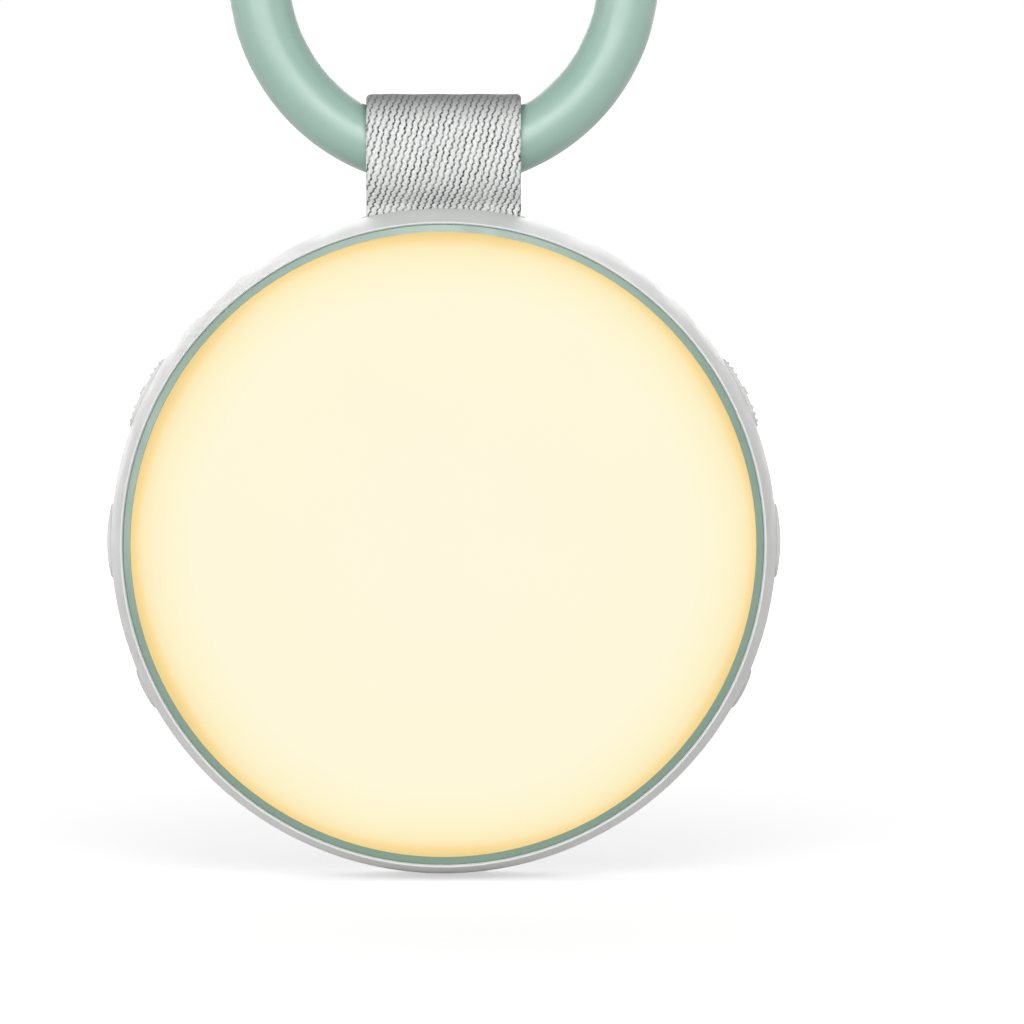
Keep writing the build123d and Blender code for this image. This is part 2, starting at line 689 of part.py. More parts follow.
def board_parts():
    """The larger packages on the board, the tall ones beside the cell."""
    solids = []
    for x_share, z_share, size in BOARD_PARTS:
        solids.append(board_part(x_share * BOARD_RADIUS, z_share * BOARD_RADIUS, *size))
    for side, gap, z_share, size in TALL_PARTS:
        x = side * (BATTERY_SIZE[0] / 2 + gap + size[0] / 2)
        z = BATTERY_Z + z_share * BATTERY_SIZE[2]
        solids.append(board_part(x, z, *size))
    return Compound(solids)


def usb_socket():
    """Charging socket at the board's lower edge, open downwards, with its contact tongue."""
    outline = SlotOverall(USB_WIDTH, USB_HEIGHT)
    mouth = SlotOverall(USB_WIDTH - 2 * USB_WALL, USB_HEIGHT - 2 * USB_WALL)
    socket = extrude(outline, amount=USB_LENGTH)
    socket -= extrude(mouth, amount=USB_LENGTH - 2 * USB_WALL)
    width, thickness, length = USB_TONGUE
    tongue = Pos(0, 0, USB_LENGTH - length / 2 - USB_WALL) * Box(width, thickness, length)
    return Pos(0, USB_Y, USB_SETBACK - CASE_RADIUS) * (socket + tongue)


def battery():
    """Flat pouch cell stuck to the board below the speaker."""
    width, depth, length = BATTERY_SIZE
    cell = Pos(0, BATTERY_Z) * RectangleRounded(width, length, BATTERY_ROUNDING)
    return slab(cell, BATTERY_FRONT, BATTERY_FRONT + depth)


def battery_tape():
    """Foam tape between the cell and the board."""
    width, _, length = BATTERY_SIZE
    tape = Pos(0, BATTERY_Z) * Rectangle(width - 2 * TAPE_MARGIN, length - 2 * TAPE_MARGIN)
    return slab(tape, BOARD_BACK, BATTERY_FRONT)


# Rear side


def rear_outline():
    """Section of the rear shell: bevel, lip, recess for the grille, seat and spigot."""
    groove = PARTING_GROOVE
    spigot = WALL_RADIUS - FIT
    inside = spigot - SPIGOT_WALL
    corner = TangentArc(
        (CASE_RADIUS, PARTING_Y + groove), (BEVEL_RADIUS, BEVEL_Y), tangent=(0, 1)
    )
    rest = Polyline(
        (BEVEL_RADIUS, BEVEL_Y),
        (REAR_LIP_RADIUS, REAR_DEPTH),
        (RECESS_RADIUS, REAR_DEPTH),
        (RECESS_RADIUS, SEAT_BACK),
        (SEAT_RADIUS, SEAT_BACK),
        (SEAT_RADIUS, SEAT_FRONT),
        (inside, SEAT_FRONT),
        (inside, PARTING_Y - SPIGOT_DEPTH),
        (spigot, PARTING_Y - SPIGOT_DEPTH),
        (spigot, PARTING_Y),
        (CASE_RADIUS - groove, PARTING_Y),
        (CASE_RADIUS, PARTING_Y + groove),
    )
    return [corner, rest]


def bevel_frame(share):
    """Where the bevel is crossed at a share of its width from the outside, at the casing's foot."""
    radius = BEVEL_RADIUS + share * (REAR_LIP_RADIUS - BEVEL_RADIUS)
    depth = BEVEL_Y + share * (REAR_DEPTH - BEVEL_Y)
    outward = (0, BEVEL_RADIUS - REAR_LIP_RADIUS, BEVEL_Y - REAR_DEPTH)
    return Plane(origin=(0, depth, -radius), x_dir=(1, 0, 0), z_dir=outward)


def charge_light():
    """Light pipe that shows the charge light in the bevel at the casing's foot."""
    pipe = Circle(LIGHT_PIPE_RADIUS - LIGHT_PIPE_GAP)
    return extrude(bevel_frame(LIGHT_PIPE_SHARE) * pipe, amount=-LIGHT_PIPE_LENGTH)


def rear_shell():
    """Moulded rear half: bevelled rim, seat for the grille and bosses for the screws."""
    shell = turned_outline(rear_outline())
    for bay in control_bays():
        shell -= bay
    for boss in spread(disc(BOSS_RADIUS, BOSS_SPLIT_Y, SEAT_FRONT), *BOSS_PLACES):
        shell += boss
    for hole in through_holes(SHELL_SCREW_RADIUS, BOSS_PLACES):
        shell -= hole
    head = disc(2 * SHELL_SCREW_RADIUS + SCREW_CLEARANCE, SCREW_SEAT, DEEP)
    for pocket in spread(head, *BOSS_PLACES):
        shell -= pocket
    pipe_hole = bevel_frame(LIGHT_PIPE_SHARE) * Circle(LIGHT_PIPE_RADIUS)
    return shell - extrude(pipe_hole, amount=2 * LIGHT_PIPE_LENGTH, both=True)


def grille_face(radius, back, rim, shoulder):
    """Outer line of the grille or cloth: flat across, then rolled over to a straight rim."""
    roll = TangentArc((radius - shoulder, back), (radius, rim), tangent=(1, 0))
    return Line((0, back), (radius - shoulder, back)), roll


def hole_field():
    """Round holes in a honeycomb, as far out as the speaker's cone reaches."""
    count = 2 * int(HOLE_FIELD / HOLE_PITCH) + 3
    places = HexLocations(HOLE_PITCH / 2, count, count, major_radius=False)
    within = [place for place in places if place.position.length < HOLE_FIELD]
    return Sketch() + [place * Circle(HOLE_RADIUS) for place in within]


def speaker_grille():
    """Perforated plate that the cloth is stretched over, with the speaker's seat on its inside."""
    rim = SEAT_BACK + GRILLE_RIM
    flat, roll = grille_face(GRILLE_RADIUS, GRILLE_BACK, rim, GRILLE_SHOULDER)
    inside = Polyline(
        (GRILLE_RADIUS, rim),
        (GRILLE_RADIUS, SEAT_BACK),
        (GRILLE_RADIUS - 2 * GRILLE_RIM, SEAT_BACK),
        (GRILLE_RADIUS - GRILLE_SHOULDER, GRILLE_FRONT),
        (0, GRILLE_FRONT),
        (0, GRILLE_BACK),
    )
    plate = turned_outline([flat, roll, inside])
    seat = turned(
        (SPEAKER_RADIUS - GASKET_WIDTH, GASKET_BACK),
        (SPEAKER_RADIUS, GASKET_BACK),
        (SPEAKER_RADIUS, GRILLE_FRONT),
        (SPEAKER_RADIUS - GASKET_WIDTH, GRILLE_FRONT),
    )
    plate += at_speaker(seat)
    plate -= at_speaker(slab(hole_field(), GRILLE_FRONT - GRILLE_SHEET, GRILLE_BACK + GRILLE_SHEET))
    pilot = disc(SPEAKER_SCREW_RADIUS, GASKET_BACK, GRILLE_BACK - GRILLE_SHEET / 2)
    for hole in spread(pilot, *SPEAKER_SCREW_PLACES):
        plate -= at_speaker(hole)
    return plate


def fabric_cover():
    """Woven cloth over the grille and round its edge."""
    rim = SEAT_BACK + GRILLE_RIM
    inner_radius = GRILLE_RADIUS + CLOTH_GAP
    inner_back = GRILLE_BACK + CLOTH_GAP
    reach = CLOTH_RADIUS - inner_radius
    inner_rim = rim + CLOTH_GAP
    outer_rim = rim + CLOTH
    shoulder = GRILLE_SHOULDER + reach
    flat, roll = grille_face(CLOTH_RADIUS, inner_back + CLOTH, outer_rim, shoulder)
    inner_flat, inner_roll = grille_face(inner_radius, inner_back, inner_rim, GRILLE_SHOULDER)
    edge = [(CLOTH_RADIUS, outer_rim), (CLOTH_RADIUS, SEAT_BACK), (inner_radius, SEAT_BACK)]
    side = Polyline(*edge)
    inner_side = Line((inner_radius, SEAT_BACK), (inner_radius, inner_rim))
    centre = Line((0, inner_back), (0, inner_back + CLOTH))
    return turned_outline([flat, roll, side, inner_side, inner_roll, inner_flat, centre])


# Speaker


def speaker_basket():
    """Pressed frame: flange, sloping wall with windows between its spokes, and floor."""
    frame = turned(
        (SPEAKER_OPENING, FLANGE_BACK),
        (SPEAKER_RADIUS, FLANGE_BACK),
        (SPEAKER_RADIUS, FLANGE_FRONT),
        (SPEAKER_OPENING + BASKET_SHEET, FLANGE_FRONT),
        (BASKET_FLOOR_RADIUS + BASKET_SHEET, TOP_PLATE_BACK),
        (COIL_RADIUS + COIL_GAP, TOP_PLATE_BACK),
        (COIL_RADIUS + COIL_GAP, BASKET_FLOOR),
        (BASKET_FLOOR_RADIUS, BASKET_FLOOR),
        (SPEAKER_OPENING, FLANGE_FRONT),
    )
    middle = (SPEAKER_OPENING + BASKET_FLOOR_RADIUS) / 2
    arc = CenterArc((0, 0), middle, 0, BASKET_WINDOW_ANGLE)
    outline = SlotArc(arc, BASKET_WINDOW_WIDTH)
    window = slab(outline, BASKET_FLOOR - 2 * BASKET_SHEET, FLANGE_FRONT)
    for number in range(BASKET_WINDOWS):
        frame -= around(window, number * 360 / BASKET_WINDOWS)
    for hole in through_holes(SPEAKER_SCREW_RADIUS, SPEAKER_SCREW_PLACES):
        frame -= hole
    return at_speaker(frame)


def speaker_top_plate():
    """Steel ring under the basket that carries the magnet's field to the coil."""
    bore = COIL_RADIUS + COIL_GAP
    plate = disc(PLATE_RADIUS, MAGNET_BACK, TOP_PLATE_BACK) - disc(bore, -DEEP, DEEP)
    return at_speaker(plate)


def speaker_magnet():
    """Ring magnet."""
    bore = COIL_RADIUS + 3 * COIL_GAP
    return at_speaker(disc(MAGNET_RADIUS, MAGNET_FRONT, MAGNET_BACK) - disc(bore, -DEEP, DEEP))


def speaker_yoke():
    """Steel back plate with the pole that stands inside the coil."""
    pole = disc(POLE_RADIUS, MAGNET_FRONT, TOP_PLATE_BACK)
    return at_speaker(disc(PLATE_RADIUS, YOKE_FRONT, MAGNET_FRONT) + pole)


def coil_top():
    """Depth where the coil's tube meets the cone."""
    return BASKET_FLOOR + 2 * SPIDER_RISE


def voice_coil():
    """Coil on its tube, in the gap between pole and top plate."""
    tube = disc(COIL_RADIUS, MAGNET_BACK - TOP_PLATE_THICKNESS, coil_top())
    return at_speaker(tube - disc(COIL_RADIUS - COIL_WALL, -DEEP, DEEP))


def speaker_spider():
    """Corrugated disc that centres the coil, glued to a step of the basket's floor."""
    inner = COIL_RADIUS
    level = BASKET_FLOOR + SPIDER_RISE
    pitch = (SPIDER_RADIUS - inner) / SPIDER_STEPS
    waves = [level + number % 2 * SPIDER_WAVE for number in range(SPIDER_STEPS)]
    line = [(inner + number * pitch, wave) for number, wave in enumerate(waves)]
    line += [(SPIDER_RADIUS - pitch / 3, BASKET_FLOOR + SPIDER_SHEET)]
    line += [(SPIDER_RADIUS, BASKET_FLOOR + SPIDER_SHEET)]
    return at_speaker(turned(*sheet_through(line, SPIDER_SHEET)))


def speaker_cone():
    """Paper cone from the coil out to the surround."""
    line = [(COIL_RADIUS, coil_top() + CONE_PAPER), (CONE_RADIUS, FLANGE_BACK)]
    return at_speaker(turned(*sheet_through(line, CONE_PAPER)))


def speaker_surround():
    """Rubber roll between the cone and the flange."""
    base = FLANGE_BACK + CONE_PAPER
    crown = base + ROLL_RISE
    inner = CONE_RADIUS - BASKET_SHEET
    outer = SPEAKER_OPENING + BASKET_SHEET
    line = [
        (inner, base),
        (CONE_RADIUS, base),
        (CONE_RADIUS + ROLL_FOLD, crown),
        (SPEAKER_OPENING - ROLL_FOLD, crown),
        (SPEAKER_OPENING, base),
        (outer, base),
    ]
    return at_speaker(turned(*sheet_through(line, CONE_PAPER)))


def speaker_dust_cap():
    """Domed cap over the middle of the cone."""
    base = coil_top() + CONE_PAPER
    radius = COIL_RADIUS - COIL_WALL / 2
    dome = ThreePointArc((0, base + radius / 3), (radius / 2, base + radius / 4), (radius, base))
    rest = Polyline((radius, base), (0, base), (0, base + radius / 3))
    return at_speaker(turned_outline([dome, rest]))


def speaker_gasket():
    """Foam ring between the flange and its seat."""
    ring = disc(SPEAKER_RADIUS, FLANGE_BACK, GASKET_BACK)
    ring -= disc(SPEAKER_RADIUS - GASKET_WIDTH, -DEEP, DEEP)
    for hole in through_holes(SPEAKER_SCREW_RADIUS, SPEAKER_SCREW_PLACES):
        ring -= hole
    return at_speaker(ring)


# Screws


def screw(radius, head_seat, tip):
    """A pan-head screw along the depth axis, from under its head to its tip."""
    outwards = 1 if head_seat > tip else -1
    head = sorted((head_seat, head_seat + outwards * radius))
    shank = sorted((tip, head_seat))
    return disc(2 * radius, *head) + disc(radius - THREAD_GAP, *shank)


def shell_screws():
    """Four screws under the grille that close the casing."""
    tip = BOSS_SPLIT_Y - SHELL_SCREW_REACH
    one = screw(SHELL_SCREW_RADIUS, SCREW_SEAT, tip)
    return Compound(spread(one, *BOSS_PLACES))


def chassis_screws():
    """Four screws that hold the chassis on the front shell's lugs."""
    one = screw(LUG_SCREW_RADIUS, CHASSIS_BACK, SHELF_BACK + FIT)
    return Compound(spread(one, *LUG_PLACES))


def board_screws():
    """Three screws that hold the main board on the chassis pads."""
    one = screw(BOARD_SCREW_RADIUS, BOARD_BACK, LED_BOARD_BACK + FIT)
    return Compound(spread(one, *PAD_PLACES))


def speaker_screws():
    """Four screws that hold the speaker on the grille."""
    one = screw(SPEAKER_SCREW_RADIUS, FLANGE_FRONT, GRILLE_FRONT)
    return at_speaker(Compound(spread(one, *SPEAKER_SCREW_PLACES)))


CASING_PIECES = {
    "strap_tail": strap_tail,
    "strap_pin": strap_pin,
    "front_shell": front_shell,
    "trim_ring": trim_ring,
    "diffuser": diffuser,
    "light_tray": light_tray,
    "led_board": led_board,
    "lamp_leds": lamp_leds,
    "chassis": chassis,
    "main_board": main_board,
    "board_parts": board_parts,
    "side_switches": side_switches,
    "usb_socket": usb_socket,
    "battery": battery,
    "battery_tape": battery_tape,
    "rear_shell": rear_shell,
    "charge_light": charge_light,
    "speaker_grille": speaker_grille,
    "fabric_cover": fabric_cover,
    "speaker_basket": speaker_basket,
    "speaker_top_plate": speaker_top_plate,
    "speaker_magnet": speaker_magnet,
    "speaker_yoke": speaker_yoke,
    "voice_coil": voice_coil,
    "speaker_spider": speaker_spider,
    "speaker_cone": speaker_cone,
    "speaker_surround": speaker_surround,
    "speaker_dust_cap": speaker_dust_cap,
    "speaker_gasket": speaker_gasket,
    "shell_screws": shell_screws,
    "chassis_screws": chassis_screws,
    "board_screws": board_screws,
    "speaker_screws": speaker_screws,
}


def controls():
    """The six controls, each at its own place round the rim."""
    small = push_button(SMALL_BUTTON_LENGTH, SMALL_CAP_PROUD)
    middle = push_button(BUTTON_LENGTH, CAP_PROUD)
    tipping = rocker()
    return {
        "volume_rocker": around(tipping, 180 - CONTROL_ANGLE),
        "timer_button": around(middle, 180),
        "sound_button": around(small, 180 + CONTROL_ANGLE),
        "brightness_rocker": around(tipping, CONTROL_ANGLE),
        "lamp_button": around(middle, 0),
        "tone_button": around(small, -CONTROL_ANGLE),
    }


def build():
    """Every piece at its place, by name."""
    pieces = {"hang_ring": hang_ring(), "strap": strap()}
    casing = {name: make() for name, make in CASING_PIECES.items()}
    casing.update(controls())
    for name, piece in casing.items():
        pieces[name] = Pos(0, 0, CASE_Z) * piece
    return pieces


os.makedirs("parts", exist_ok=True)
for name, piece in build().items():
    export_step(piece, f"parts/{name}.step")
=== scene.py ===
"""Looks of a disc-shaped sound machine with a night lamp, hung from a ring by a webbing strap.

Every length is in metres, in the frame of the solids: the origin is the hook's point inside the
top of the ring, +Z is up, the lamp faces -Y and the speaker cloth faces +Y.
"""

from __future__ import annotations

import logging
import math
from dataclasses import dataclass
from enum import Enum
from typing import ClassVar, Protocol, Sequence

import bmesh
import bpy
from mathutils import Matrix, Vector

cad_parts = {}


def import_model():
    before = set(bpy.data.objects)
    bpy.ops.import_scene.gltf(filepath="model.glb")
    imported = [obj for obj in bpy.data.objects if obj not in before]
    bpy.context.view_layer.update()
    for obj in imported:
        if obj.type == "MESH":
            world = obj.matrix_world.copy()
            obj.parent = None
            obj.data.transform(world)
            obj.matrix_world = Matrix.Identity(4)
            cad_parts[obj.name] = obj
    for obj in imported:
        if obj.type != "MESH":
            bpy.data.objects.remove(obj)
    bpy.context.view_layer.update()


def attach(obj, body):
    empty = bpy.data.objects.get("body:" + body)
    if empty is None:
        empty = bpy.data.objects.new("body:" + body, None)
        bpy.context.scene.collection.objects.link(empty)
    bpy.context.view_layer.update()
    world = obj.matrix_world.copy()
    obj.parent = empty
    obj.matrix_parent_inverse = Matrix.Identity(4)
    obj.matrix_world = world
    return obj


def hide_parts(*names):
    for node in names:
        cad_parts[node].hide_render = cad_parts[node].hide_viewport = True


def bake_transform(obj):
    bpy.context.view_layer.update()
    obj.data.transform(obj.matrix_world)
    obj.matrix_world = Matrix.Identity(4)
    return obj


LOG = logging.getLogger("sound_machine")
MM = 0.001
CASING_CENTRE = -116.55 * MM
INK_LIFT = 0.03 * MM

Colour = tuple[float, float, float]
Point2 = tuple[float, float]
Point3 = tuple[float, float, float]
Outline = tuple[list[Point2], list[list[int]]]
Socket = bpy.types.NodeSocket


class Body(Enum):
    """The bodies that whole pieces ride on."""

    RING = "ring"
    CASING = "casing"


class Grain(Enum):
    """How a surface's fine relief runs."""

    EVEN = (1.0, 1.0, 1.0)
    ALONG_X = (0.04, 1.0, 1.0)
    ALONG_Z = (1.0, 1.0, 0.04)


def shade(red: int, green: int, blue: int) -> Colour:
    """Turns a colour on the 0 to 255 screen scale into the linear one that shaders use.

    Args:
        red: Red on the screen scale.
        green: Green on the screen scale.
        blue: Blue on the screen scale.

    Returns:
        The linear colour.
    """
    return tuple(
        part / 12.92 if part <= 0.04045 else ((part + 0.055) / 1.055) ** 2.4
        for part in (red / 255, green / 255, blue / 255)
    )


class Bench:
    """A material's node tree, with short ways to add nodes and join them."""

    def __init__(self, name: str) -> None:
        """Starts an empty material.

        Args:
            name: The material's name.
        """
        self.material = bpy.data.materials.new(name)
        self.material.use_nodes = True
        self.tree = self.material.node_tree
        self.tree.nodes.clear()
        self.place = self.node("ShaderNodeTexCoord")

    def node(self, kind: str, **settings: object) -> bpy.types.Node:
        """Adds a node and sets its properties.

        Args:
            kind: The node's type.
            settings: Properties by name.

        Returns:
            The new node.
        """
        made = self.tree.nodes.new(kind)
        for name, value in settings.items():
            setattr(made, name, value)
        return made

    def feed(self, target: Socket, value: Socket | float | Sequence[float]) -> None:
        """Joins a socket to an input, or sets the input to a value.

        Args:
            target: The input to feed.
            value: A socket or a constant.
        """
        if isinstance(value, bpy.types.NodeSocket):
            self.tree.links.new(value, target)
        else:
            target.default_value = value

    def maths(self, work: str, *values: Socket | float) -> Socket:
        """One arithmetic step.

        Args:
            work: The operation's name.
            values: Its one to three inputs.

        Returns:
            The result.
        """
        made = self.node("ShaderNodeMath", operation=work)
        for target, value in zip(made.inputs, values):
            self.feed(target, value)
        return made.outputs[0]

    def product(self, *values: Socket | float) -> Socket:
        """Multiplies values together.

        Args:
            values: Two or more values.

        Returns:
            Their product.
        """
        result = values[0]
        for value in values[1:]:
            result = self.maths("MULTIPLY", result, value)
        return result

    def off_middle(self, value: Socket) -> Socket:
        """How far a value lies from halfway between two whole numbers.

        Args:
            value: The value.

        Returns:
            The distance, from 0 to 0.5.
        """
        return self.maths("ABSOLUTE", self.maths("SUBTRACT", self.maths("FRACT", value), 0.5))

    def axes(self, vector: Socket) -> list[Socket]:
        """Splits a vector.

        Args:
            vector: The vector.

        Returns:
            Its X, Y and Z.
        """
        made = self.node("ShaderNodeSeparateXYZ")
        self.feed(made.inputs[0], vector)
        return list(made.outputs)

    def mixed(self, first: Socket, share: float, second: Socket, other: float) -> Socket:
        """Adds two values in given shares.

        Args:
            first: The first value.
            share: Factor on the first value.
            second: The second value.
            other: Factor on the second value.

        Returns:
            The sum.
        """
        return self.maths("MULTIPLY_ADD", first, share, self.maths("MULTIPLY", second, other))

    def spread(self, value: Socket, low: float, high: float, to: Point2 = (0.0, 1.0)) -> Socket:
        """Smoothly maps a range of a value to another range.

        Args:
            value: The value to map.
            low: Where the range starts.
            high: Where the range ends.
            to: The two ends of the new range.

        Returns:
            The mapped value, clamped.
        """
        made = self.node("ShaderNodeMapRange", interpolation_type="SMOOTHSTEP")
        for index, given in enumerate((value, low, high, *to)):
            self.feed(made.inputs[index], given)
        return made.outputs[0]

    def stretched(self, scale: Sequence[float], source: str = "Object") -> Socket:
        """Texture places scaled along each axis.

        Args:
            scale: Factor along X, Y and Z.
            source: Which coordinates to start from.

        Returns:
            The scaled vector.
        """
        made = self.node("ShaderNodeMapping")
        self.feed(made.inputs["Vector"], self.place.outputs[source])
        self.feed(made.inputs["Scale"], scale)
        return made.outputs[0]

    def noise(self, size: float, detail: float = 2.0, where: Socket | None = None) -> Socket:
        """Soft random value with features of a given size.

        Args:
            size: Rough size of a feature, in the unit of the coordinates.
            detail: Octaves of finer variation.
            where: Coordinates, the object's own if left out.

        Returns:
            The value, around 0.5.
        """
        made = self.node("ShaderNodeTexNoise")
        self.feed(made.inputs["Vector"], where or self.place.outputs["Object"])
        self.feed(made.inputs["Scale"], 1.0 / size)
        self.feed(made.inputs["Detail"], detail)
        return made.outputs["Fac"]

    def chance(self, first: Socket, second: Socket) -> Socket:
        """A fixed random value for each pair of whole numbers.

        Args:
            first: The first number.
            second: The second number.

        Returns:
            The value, from 0 to 1.
        """
        pair = self.node("ShaderNodeCombineXYZ")
        self.feed(pair.inputs[0], first)
        self.feed(pair.inputs[1], second)
        made = self.node("ShaderNodeTexWhiteNoise", noise_dimensions="2D")
        self.feed(made.inputs["Vector"], pair.outputs[0])
        return made.outputs["Value"]

    def cells(self, size: float, where: Socket | None = None) -> Socket:
        """Distance to the nearest of scattered points.

        Args:
            size: Rough spacing of the points.
            where: Coordinates, the object's own if left out.

        Returns:
            The distance, in spacings.
        """
        made = self.node("ShaderNodeTexVoronoi")
        self.feed(made.inputs["Vector"], where or self.place.outputs["Object"])
        self.feed(made.inputs["Scale"], 1.0 / size)
        return made.outputs["Distance"]

    def blend(self, share: Socket, first: Colour | Socket, second: Colour | Socket) -> Socket:
        """Mixes two colours.

        Args:
            share: Share of the second colour.
            first: The first colour.
            second: The second colour.

        Returns:
            The mixed colour.
        """
        made = self.node("ShaderNodeMix", data_type="RGBA")
        self.feed(made.inputs["Factor"], share)
        for target, colour in ((made.inputs[6], first), (made.inputs[7], second)):
            solid = isinstance(colour, bpy.types.NodeSocket)
            self.feed(target, colour if solid else (*colour, 1.0))
        return made.outputs[2]

    def relief(self, height: Socket, depth: float, under: Socket | None = None) -> Socket:
        """Turns a height into a bent normal.

        Args:
            height: The height from 0 to 1.
            depth: The real height that 1 stands for.
            under: A coarser relief that this one lies on.

        Returns:
            The normal.
        """
        made = self.node("ShaderNodeBump")
        self.feed(made.inputs["Height"], height)
        self.feed(made.inputs["Distance"], depth)
        if under is not None:
            self.feed(made.inputs["Normal"], under)
        return made.outputs[0]

    def finish(self, **inputs: Socket | float | Sequence[float]) -> bpy.types.Material:
        """Closes the material with the main shader.

        Args:
            inputs: The shader's inputs, with underscores for spaces.

        Returns:
            The finished material.
        """
        shader = self.node("ShaderNodeBsdfPrincipled")
        for name, value in inputs.items():
            self.feed(shader.inputs[name.replace("_", " ")], value)
        output = self.node("ShaderNodeOutputMaterial")
        self.feed(output.inputs["Surface"], shader.outputs[0])
        return self.material


class Finish(Protocol):
    """Anything that can build a material."""

    def material(self) -> bpy.types.Material:
        """Builds the material.

        Returns:
            The material.
        """


@dataclass(frozen=True)
class MouldedPlastic:
    """Moulded plastic with an eroded grain, faint clouding and uneven sheen."""

    name: str
    colour: Colour
    roughness: float = 0.5
    grain: float = 0.22 * MM
    depth: float = 0.006 * MM
    clouding: float = 0.04
    cloud_size: float = 14 * MM
    handled_size: float = 5 * MM
    coat: float = 0.0
    gloss: float = 0.5
    index: float = 1.5

    def material(self) -> bpy.types.Material:
        """Builds the material.

        Returns:
            The material.
        """
        bench = Bench(self.name)
        cloud = bench.noise(self.cloud_size, 3.0)
        dark = tuple(part * (1 - self.clouding) for part in self.colour)
        light = tuple(min(1.0, part * (1 + self.clouding)) for part in self.colour)
        handled = bench.noise(self.handled_size, 4.0)
        rough = (self.roughness - 0.05, self.roughness + 0.06)
        grain = bench.maths("ADD", bench.noise(self.grain, 1.0), bench.noise(self.grain * 3, 2.0))
        return bench.finish(
            Base_Color=bench.blend(cloud, dark, light),
            Roughness=bench.spread(handled, 0.3, 0.7, rough),
            Specular_IOR_Level=self.gloss,
            IOR=self.index,
            Coat_Weight=self.coat,
            Coat_Roughness=0.3,
            Normal=bench.relief(grain, self.depth),
        )


@dataclass(frozen=True)
class OpalLamp:
    """Opal lamp cover lit from behind: creamy, and amber in a narrow band at its edge."""

    name: str = "opal_lamp"
    radius: float = 50.25 * MM
    lamps: int = 6
    scallop: float = 0.007
    lean: float = 0.005
    patch_size: float = 16 * MM
    patchiness: float = 0.016
    unlit: tuple[Colour, Colour] = (shade(96, 92, 84), shade(102, 98, 88))
    strength: float = 0.85
    stops: tuple[tuple[float, Colour], ...] = (
        (0.3, shade(253, 246, 218)),
        (0.8, shade(253, 246, 213)),
        (0.867, shade(253, 245, 206)),
        (0.915, shade(252, 242, 197)),
        (0.947, shade(252, 236, 185)),
        (0.963, shade(251, 232, 174)),
        (0.976, shade(251, 221, 149)),
        (0.9856, shade(247, 213, 133)),
        (0.993, shade(244, 210, 128)),
        (1.0, shade(236, 203, 121)),
    )

    def material(self) -> bpy.types.Material:
        """Builds the material.

        Returns:
            The material.
        """
        bench = Bench(self.name)
        across, _, height = bench.axes(bench.place.outputs["Object"])
        rise = bench.maths("SUBTRACT", height, CASING_CENTRE)
        squares = [bench.maths("POWER", side, 2.0) for side in (across, rise)]
        reach = bench.maths("SQRT", bench.maths("ADD", *squares))
        share = bench.maths("DIVIDE", reach, self.radius)
        angle = bench.maths("ARCTAN2", rise, across)
        beside = bench.maths("COSINE", bench.maths("MULTIPLY", angle, float(self.lamps)))
        patchy = bench.maths("SUBTRACT", bench.noise(self.patch_size, 2.0), 0.5)
        shifts = (
            (beside, -self.scallop),
            (bench.maths("COSINE", angle), -self.lean),
            (patchy, self.patchiness),
        )
        for shift, amount in shifts:
            share = bench.maths("ADD", share, bench.maths("MULTIPLY", shift, amount))
        ramp = bench.node("ShaderNodeValToRGB")
        bench.feed(ramp.inputs[0], share)
        while len(ramp.color_ramp.elements) < len(self.stops):
            ramp.color_ramp.elements.new(0.5)
        for element, (place, colour) in zip(ramp.color_ramp.elements, self.stops):
            element.position = place
            element.color = (*colour, 1.0)
        grain = bench.noise(0.3 * MM, 2.0)
        return bench.finish(
            Base_Color=bench.blend(bench.noise(20 * MM), *self.unlit),
            Roughness=bench.spread(grain, 0.3, 0.7, (0.42, 0.52)),
            Specular_IOR_Level=0.25,
            Emission_Color=ramp.outputs[0],
            Emission_Strength=self.strength,
            Normal=bench.relief(grain, 0.003 * MM),
        )


